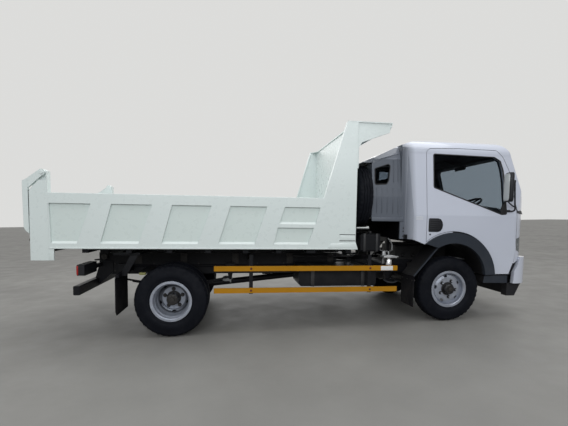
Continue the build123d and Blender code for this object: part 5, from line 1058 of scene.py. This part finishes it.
for s, z in ((-1, 1552), (1, 1560)):                # stalks on the steering column
    p.tube([P(3800, -480 + s * 34, 1440), P(3790, -480 + s * 120, z - 70), P(3784, -480 + s * 168, z - 62)], [7, 6, 9], 10)
p.done()


def pad(name, node, outline, y0, y1, mat="seat_fabric", cap=0.024, channels=()):
    """A sewn cushion: the outline swells under pressure, then its seams and channels are laid on."""
    bm = bmesh.new()
    cx = sum(q[0] for q in outline) / len(outline)
    cz = sum(q[1] for q in outline) / len(outline)
    shrink = 16.0
    pts = []
    for x, z in flat_loop(outline, 26, 4):
        d = Vector((x - cx, z - cz, 0))
        l = d.length
        pts.append((x - d.x / l * shrink * 0.8, z - d.y / l * shrink * 0.8))
    a = [bm.verts.new(P(x, y0 + shrink, z)) for x, z in pts]
    b = [bm.verts.new(P(x, y1 - shrink, z)) for x, z in pts]
    k = len(a)
    bm.faces.new(a)
    bm.faces.new(list(reversed(b)))
    for i in range(k):
        bm.faces.new((a[i], b[i], b[(i + 1) % k], a[(i + 1) % k]))
    bmesh.ops.recalc_face_normals(bm, faces=bm.faces)
    me = bpy.data.meshes.new(name)
    bm.to_mesh(me)
    bm.free()
    ob = bpy.data.objects.new(name, me)
    scene.collection.objects.link(ob)
    rm = ob.modifiers.new("remesh", "REMESH")
    rm.mode = "VOXEL"
    rm.voxel_size = 0.012
    dg = bpy.context.evaluated_depsgraph_get()
    flat = bpy.data.meshes.new_from_object(ob.evaluated_get(dg))
    ob.modifiers.clear()
    ob.data = flat
    rest = [v.co.copy() for v in flat.vertices]
    cl = ob.modifiers.new("cloth", "CLOTH")
    cl.settings.quality = 4
    cl.settings.use_pressure = True
    cl.settings.uniform_pressure_force = 4.0
    cl.settings.effector_weights.gravity = 0.0
    cl.settings.tension_stiffness = 12
    cl.settings.compression_stiffness = 12
    cl.point_cache.frame_start, cl.point_cache.frame_end = 1, 20
    for f in range(1, 21):
        scene.frame_set(f)
    dg = bpy.context.evaluated_depsgraph_get()
    out = bpy.data.meshes.new_from_object(ob.evaluated_get(dg))
    ob.modifiers.clear()
    for i, v in enumerate(out.vertices):
        d = v.co - rest[i]
        if d.length > cap:
            v.co = rest[i] + d * (cap / d.length)
    ob.data = out
    scene.frame_set(1)
    me = ob.data
    mid_y = (y0 + y1) / 2 * MM
    for v in me.vertices:                           # sewn channels pull the cover in
        for cy, depth in channels:
            d = abs(v.co.y - cy * MM)
            if d < 0.022:
                n = v.normal
                v.co -= n * (depth * MM * (0.5 + 0.5 * math.cos(math.pi * d / 0.022)))
    sub = ob.modifiers.new("sub", "SUBSURF")
    sub.levels = sub.render_levels = 1
    dg = bpy.context.evaluated_depsgraph_get()
    fin = bpy.data.meshes.new_from_object(ob.evaluated_get(dg))
    ob.modifiers.clear()
    ob.data = fin
    for poly in fin.polygons:
        poly.use_smooth = True
    fin.materials.clear()
    fin.materials.append(M[mat])
    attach(ob, "cab")
    if node:
        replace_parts(ob, node)
    # piping round both ends
    pipe = Piece(name + "_piping", "cab", "seat_side", slot="seat_fabric", angle=60)
    for yy, sgn in ((y0 + 22, 1), (y1 - 22, -1)):
        ring_ = []
        for x, z in flat_loop(outline, 30, 4):
            d = Vector((x - cx, z - cz, 0))
            l = d.length
            ring_.append(P(x - d.x / l * 6, yy, z - d.y / l * 6))
        pipe.tube(ring_, 4.5, 6, closed=True)
    pipe.done()
    return ob


for label, y, w in (("driver", -480.0, 520.0), ("passenger", 330.0, 900.0)):
    ch = [(y - w * 0.25, 7.0), (y + w * 0.25, 7.0)] + ([(y, 7.0)] if w > 600 else [])
    pad(f"{label}_cushion", f"{label}_seat", [(2962, 1304), (3486, 1314), (3496, 1398), (3440, 1428), (2962, 1394)], y - w / 2, y + w / 2, channels=ch)
    pad(f"{label}_backrest", f"{label}_seat", [(2950, 1396), (3036, 1410), (2935, 1954), (2842, 1954), (2846, 1396)], y - w / 2, y + w / 2, channels=ch)

# ============================================================================
# Frame side: guards, tanks, pipes, springs
# ============================================================================
p = Piece("guard_bolts", "chassis", "red_bolt")
for s in (-1, 1):
    for x in (873, 2257):
        for z in (759, 512):
            p.bolt(P(x, s * 999.5, z), Vector((0, s, 0)), 9.5, 7)
p.done()
p = Piece("guard_patch_blank", "chassis", "plate_white")
p.box(2385, 2532, -999.5, -1001.6, 734, 784, 0.8)
p.done()
p = Piece("guard_end_caps", "chassis", "guard_amber", slot="guard_amber")
for s in (-1, 1):
    for z0 in (731, 484):
        for x in (463, 2588):
            p.box(x - 1.5 if x < 1000 else x - 3, x + 3 if x < 1000 else x + 1.5, s * 973, s * 1000, z0, z0 + 56, 1.0)
p.done()
p = Piece("pale_brackets", "chassis", "pale_part")
p.side(flat_loop([(2110, 1219), (2271, 1219), (2262, 1247), (2230, 1236), (2120, 1232)], 4), -884, -872, 1.5)
p.done()
p = Piece("cab_mount_holes", "cab", "seal")
for s in (-1, 1):
    for z in (1226, 1187, 1128):
        p.cyl(P(2708, s * 858, z), P(2708, s * 865.5, z), 8.5, 18)
p.done()
p = Piece("pale_pipe", "chassis", "galv")
p.tube(rounded([P(2690, -600, 940), P(2690, -600, 1010), P(2660, -600, 1060), P(2630, -600, 1090)], 20, 4, closed=False), 9, 10)
p.tube(rounded([P(2690, -600, 940), P(2690, -520, 900), P(2690, -395, 760)], 30, 4, closed=False), 9, 10)
p.done()
p = Piece("return_filter", "chassis", "bright")
p.lathe(P(2560, -800, 738), UP, [(0, 0), (44, 0), (48, 5), (48, 96), (44, 104), (30, 108), (30, 120), (18, 124), (0, 124)], 32)
p.done()
p = Piece("filter_head", "chassis", "galv")
p.side(flat_loop([(2478, 862), (2648, 862), (2648, 882), (2596, 896), (2524, 896), (2478, 882)], 6), -858, -742, 4.0)
p.tube(rounded([P(2560, -800, 896), P(2560, -800, 936), P(2510, -700, 936), P(2470, -640, 960)], 26, 4, closed=False), 8, 10)
p.tube([P(2648, -800, 872), P(2676, -800, 876), P(2686, -800, 868)], 7, 10)
p.box(2500, 2540, -745, -375, 782, 800, 3.0)
p.box(2500, 2540, -760, -742, 782, 935, 3.0)
p.done()
p = Piece("yellow_reservoir", "chassis", "yellow_part")
p.box(-352, -284, -895, -864, 680, 706, 5.0)
p.done()
p = Piece("side_stay", "chassis", "chassis_black", slot="chassis_black")
p.side([(-432, 925), (-345, 925), (-490, 668), (-562, 668)], -880, -888, 2.0)
p.box(-620, -340, -892, -380, 898, 926, 3.0)
p.box(-372, -262, -870, -372, 690, 708, 3.0)
p.done()
p = Piece("shaft_yokes", "chassis", "pale_part")
p.lathe(P(600, 0, 478), FW, [(0, -70), (34, -70), (46, -40), (46, 24), (56, 26), (56, 44), (30, 46), (28, 60), (0, 60)], 28)
p.done()


p = Piece("tank_straps", "chassis", "dull_metal")
for x in (1600, 2210):                              # fuel tank: 1435..2375 by 532..768, y -440..-880
    for y0, y1, z0, z1 in ((-884, -880, 531, 769), (-884, -440, 767, 771), (-884, -440, 529, 533)):
        p.box(x - 20, x + 20, y0, y1, z0, z1, 0.8)
    p.bolt(P(x, -860, 771), UP, 8, 8)
for x in (1250, 1740):                              # air tank
    p.lathe(P(x, 520, 660), FW, [(119, -18), (123, -18), (123, 18), (119, 18)], 40, closed=True)
p.done()
p = Piece("tank_fittings", "chassis", "black_plastic", slot="black_plastic")
p.lathe(P(2040, -820, 766), UP, [(0, 0), (44, 0), (44, 10), (40, 12), (40, 34), (36, 40), (0, 42)], 32)
p.side(flat_loop([(2014, 778), (2586, 778), (2592, 798), (2584, 806), (2016, 806), (2008, 798)], 6), 396, 850, 4.0)
for x in (2140, 2440):
    p.box(x, x + 30, 846, 856, 742, 796, 2.0)
p.tube([P(1150, 520, 660), P(1128, 520, 660)], 22, 20)
p.done()
p = Piece("hydraulic_fittings", "chassis", "dull_metal")
p.lathe(P(2420, -520, 1147), UP, [(0, 0), (34, 0), (34, 8), (26, 10), (26, 26), (20, 30), (0, 31)], 28)
for x in (2290, 2450):
    for y0, y1, z0, z1 in ((-694, -690, 922, 1152), (-694, -290, 1148, 1152), (-694, -290, 922, 926)):
        p.box(x - 14, x + 14, y0, y1, z0, z1, 0.8)
p.tube(rounded([P(2300, -440, 925), P(2300, -440, 870), P(2240, -440, 842), P(1800, -440, 842), P(1500, -440, 842), P(1440, -400, 842)], 30, 4, closed=False), 10, 10)
p.done()
p = Piece("air_lines", "chassis", "black_rubber", slot="black_rubber")
for k, (y, z) in enumerate(((-372, 700), (-372, 722), (372, 706))):
    sg = -1 if y < 0 else 1
    pts = [P(-700 + i * 260, y + sg * (9 + 1.5 * (i % 2)), z + 3 * math.sin(i * 1.7 + k)) for i in range(15)]
    p.tube(pts, 5.5, 8)
p.done()
p = Piece("frame_bolts", "chassis", "dark_bolt")
for s in (-1, 1):
    for x in (-900, -760, -560, -300, 0, 240, 620, 980, 1320, 1820, 2160, 2680, 3100, 3560, 3900):
        for z in (655, 742):
            p.bolt(P(x, s * 374.6, z), Vector((0, s, 0)), 8, 6)
    for x in (-480, 60, 700, 1400, 1940):            # plates that join subframe and frame
        p.box(x - 40, x + 40, s * 374.5, s * 383, 742, 868, 2.0)
        for dz in (765, 845):
            p.bolt(P(x, s * 382.6, dz), Vector((0, s, 0)), 9, 7)
p.done()
p = Piece("spring_clamps", "chassis", "dark_bolt")
for s in (-1, 1):
    for y, x0, z0, z1 in ((440, 0, 388, 540), (340, 3300, 350, 432)):
        for dx in (-52, 52):                         # U-bolts over the leaves
            pts = [G(x0 + dx, s * y - 38, z0), G(x0 + dx, s * y - 38, z1), G(x0 + dx, s * y + 38, z1), G(x0 + dx, s * y + 38, z0)]
            p.tube(rounded(pts, 12, 4, closed=False), 8, 10)
            for e in (-38, 38):
                p.cyl(G(x0 + dx, s * y + e, z0 - 4), G(x0 + dx, s * y + e, z0 + 12), 13, 6, 1.5)
        p.box(x0 - 68, x0 + 68, s * y - 52, s * y + 52, z0 + 8, z0 + 20, 3.0, at=G)
for s in (-1, 1):                                    # shock absorbers
    p.cyl(G(3120, s * 420, 330 + 60), G(3060, s * 420, 560), 26, 20, 3.0)
    p.cyl(G(3060, s * 420, 556), G(3030, s * 420, 668), 33, 22, 3.0)
    p.cyl(G(3027, s * 372, 664), G(3027, s * 440, 664), 14, 16, 2.0)
    p.cyl(G(3122, s * 380, 384), G(3122, s * 440, 384), 14, 16, 2.0)
    p.lathe(G(110, s * 300, 470), Vector((-1, 0, 0)), [(0, 0), (58, 0), (66, 10), (66, 40), (72, 44), (72, 52), (66, 56), (66, 90), (50, 104), (0, 106)], 32)
p.done()
p = Piece("silencer_bands", "chassis", "galv")
for x in (1216, 1536):
    p.lathe(P(x, 215, 590), FW, [(79.5, -16), (83, -16), (83, 16), (79.5, 16)], 36, closed=True)
p.done()
p = Piece("silencer_ends", "chassis", "engine_iron", slot="engine_iron")
for x, d in ((1100, -1), (1650, 1)):
    p.lathe(P(x, 215, 590), FW * d, [(0, 0), (80, 0), (80, 6), (60, 20), (26, 30), (0, 30)], 36)
p.done()
p = Piece("engine_details", "chassis", "engine_iron", slot="engine_iron")
for s in (-1, 1):
    for i in range(4):
        p.cyl(P(3010 + i * 150, s * 228, 820), P(3010 + i * 150, s * 262, 850), 26, 18, 4.0)
p.side(flat_loop([(2920, 962), (3620, 962), (3600, 996), (2940, 996)], 8), -120, 120, 10.0)
p.lathe(P(3652, 0, 760), FW, [(0, 0), (70, 0), (74, 4), (74, 20), (60, 24), (60, 30), (0, 30)], 36)
for k in range(12):
    a = 2 * math.pi * k / 12
    p.bolt(P(2903, 165 * math.cos(a), 640 + 165 * math.sin(a)), -FW, 8, 6)
p.side(flat_loop([(3050, 450), (3560, 450), (3600, 548), (3020, 548)], 20), -170, 170, 12.0)
p.done()

# tail: lamps, plate and flaps; then the front flaps, spare wheel nuts, hoist caps and step treads
p = Piece("tail_red", "chassis", "red_lens", slot="red_lens")
for s in (-1, 1):
    p.front(flat_loop([(s * 842, 694), (s * 940, 694), (s * 940, 790), (s * 842, 790)], 8), -974, -983, 3.0)
    p.side([(-975, 692), (-975, 792), (-960, 792), (-960, 692)], s * 949, s * 952.5, 1.0)
p.done()
p = Piece("tail_amber", "chassis", "amber_lens")
for s in (-1, 1):
    p.front(flat_loop([(s * 724, 694), (s * 832, 694), (s * 832, 790), (s * 724, 790)], 8), -974, -983, 3.0)
p.done()
p = Piece("tail_white", "chassis", "white_lens")
for s in (-1, 1):
    p.front(flat_loop([(s * 604, 694), (s * 714, 694), (s * 714, 790), (s * 604, 790)], 8), -974, -983, 3.0)
p.done()
p = Piece("rear_plate_blank", "chassis", "plate_white")
p.front(flat_loop([(300, 700), (540, 700), (540, 810), (300, 810)], 8), -956, -960, 1.0)
p.done()
p = Piece("rear_plate_holder", "chassis", "black_plastic", slot="black_plastic")
p.front(flat_loop([(290, 690), (550, 690), (550, 830), (290, 830)], 8), -940, -956, 2.0)
p.done()
p = Piece("flap_strips", "chassis", "galv")
for s in (-1, 1):
    p.box(-581, -577, s * 560, s * 990, 640, 664, 1.0)
    for y in (600, 730, 860, 970):
        p.bolt(P(-580.5, s * y, 652), -FW, 7, 5)
p.done()
p = Piece("front_flaps", "chassis", "black_rubber", slot="black_rubber")
for s in (-1, 1):
    p.box(2826, 2833, s * 612, s * 944, 272, 660, 2.0)
p.done()
p = Piece("front_flap_arms", "chassis", "dark_bolt")
for s in (-1, 1):
    p.tube([P(2843, s * 378, 596), P(2843, s * 930, 596)], 9, 12)
    p.box(2833, 2837, s * 622, s * 934, 580, 612, 1.0)
    for y in (650, 778, 906):
        p.bolt(P(2826, s * y, 596), -FW, 7, 5)
p.done()
p = Piece("spare_nuts", "chassis", "dark_bolt")
for k in range(3):
    a = math.radians(90 + 120 * k)
    p.bolt(P(2198, -590 + 103 * math.cos(a), 1602 + 103 * math.sin(a)), -FW, 15, 16)
p.lathe(P(2199, -590, 1602), -FW, [(0, 0), (70, 0), (72, 4), (66, 12), (0, 14)], 32)
p.done()
p = Piece("hoist_caps", "bed", "dark_bolt")
for s in (-1, 1):
    p.cyl(P(1550, s * 47, 800), P(1550, s * 56, 800), 24, 20, 2.0)
    p.cyl(P(-868, s * 409, 832), P(-868, s * 424, 832), 34, 24, 3.0)
p.done()
p = Piece("step_treads", "cab", "black_plastic", slot="black_plastic")
for s in (-1, 1):
    for i in range(6):
        p.box(3775, 4040, s * (770 + i * 28), s * (778 + i * 28), 650, 656, 1.5)
p.done()

# ============================================================================
# Floor, light, camera
# ============================================================================
def floor_and_light():
    me = bpy.data.meshes.new("floor")
    k = 60.0
    me.from_pydata([(-k, -k, 0), (k, -k, 0), (k, k, 0), (-k, k, 0)], [], [(0, 1, 2, 3)])
    ob = bpy.data.objects.new("floor", me)
    scene.collection.objects.link(ob)
    s = Shade("floor")
    slow = s.range(s.noise(0.5, 5.0), 0.3, 0.7)
    col = s.mix(slow, (0.17, 0.166, 0.158), (0.225, 0.22, 0.209))
    s.surface(col, s.range(s.noise(3.0, 5.0), 0.3, 0.7, 0.45, 0.62), normal=s.bump(s.noise(30.0, 5.0), 0.05, 0.002))
    me.materials.append(s.m)

    world = bpy.data.worlds.new("studio")
    scene.world = world
    world.use_nodes = True
    # a pale room, darker low down on the side away from the backdrop
    net = world.node_tree
    bg = net.nodes["Background"]
    bg.inputs["Strength"].default_value = 0.95
    where = net.nodes.new("ShaderNodeTexCoord")
    split = net.nodes.new("ShaderNodeSeparateXYZ")
    net.links.new(where.outputs["Generated"], split.inputs[0])
    back, low, both, tone = [net.nodes.new(k) for k in ("ShaderNodeMapRange", "ShaderNodeMapRange", "ShaderNodeMath", "ShaderNodeMix")]
    for node, value, a, b, c, d in ((back, 1, 0.0, -0.75, 0.0, 1.0), (low, 2, 0.0, 0.75, 1.0, 0.0)):
        net.links.new(split.outputs[value], node.inputs["Value"])
        for key, v in (("From Min", a), ("From Max", b), ("To Min", c), ("To Max", d)):
            node.inputs[key].default_value = v
    both.operation = "MULTIPLY"
    net.links.new(back.outputs[0], both.inputs[0])
    net.links.new(low.outputs[0], both.inputs[1])
    tone.data_type = "RGBA"
    net.links.new(both.outputs[0], tone.inputs[0])
    tone.inputs[6].default_value = (0.755, 0.755, 0.742, 1)
    tone.inputs[7].default_value = (0.27, 0.27, 0.275, 1)
    net.links.new(tone.outputs[2], bg.inputs["Color"])

    def area(name, at, aim, size, power, color=(1, 1, 1)):
        lamp = bpy.data.lights.new(name, "AREA")
        lamp.shape = "RECTANGLE"
        lamp.size, lamp.size_y = size
        lamp.energy = power
        lamp.color = color
        o = bpy.data.objects.new(name, lamp)
        scene.collection.objects.link(o)
        o.location = at
        o.rotation_euler = (Vector(aim) - Vector(at)).to_track_quat("-Z", "Y").to_euler()

    area("top", (0.0, -0.6, 6.4), (0.0, 0.0, 0.0), (9.0, 5.5), 250, (0.97, 0.99, 1.0))
    area("side", (-0.5, -9.0, 4.2), (0.0, 0.0, 1.0), (9.0, 3.0), 330, (0.93, 0.97, 1.0))
    area("back", (0.0, 8.0, 5.0), (0.0, 0.0, 1.0), (9.0, 3.0), 90, (0.97, 0.99, 1.0))


floor_and_light()
scene.view_settings.view_transform = "Standard"

YAW, PITCH, ROLL = 0.1318, 0.0735, -0.012
look = Vector((math.sin(YAW) * math.cos(PITCH), math.cos(YAW) * math.cos(PITCH), -math.sin(PITCH)))
right = Vector((math.cos(YAW), -math.sin(YAW), 0.0))
up = right.cross(look)
r2 = right * math.cos(ROLL) + up * math.sin(ROLL)
u2 = up * math.cos(ROLL) - right * math.sin(ROLL)
cam = bpy.data.cameras.new("camera")
cam.sensor_fit = "HORIZONTAL"
cam.sensor_width = 36.0
cam.lens = 369.89 / 568 * 36.0
cam.shift_y = 30.0 / 568
cam.clip_end = 200.0
cam_ob = bpy.data.objects.new("camera", cam)
scene.collection.objects.link(cam_ob)
m = Matrix((r2, u2, -look)).transposed().to_4x4()
m.translation = Vector((-1.501 + 0.7097, -5.106, 1.321))
cam_ob.matrix_world = m
scene.camera = cam_ob

bpy.context.view_layer.update()
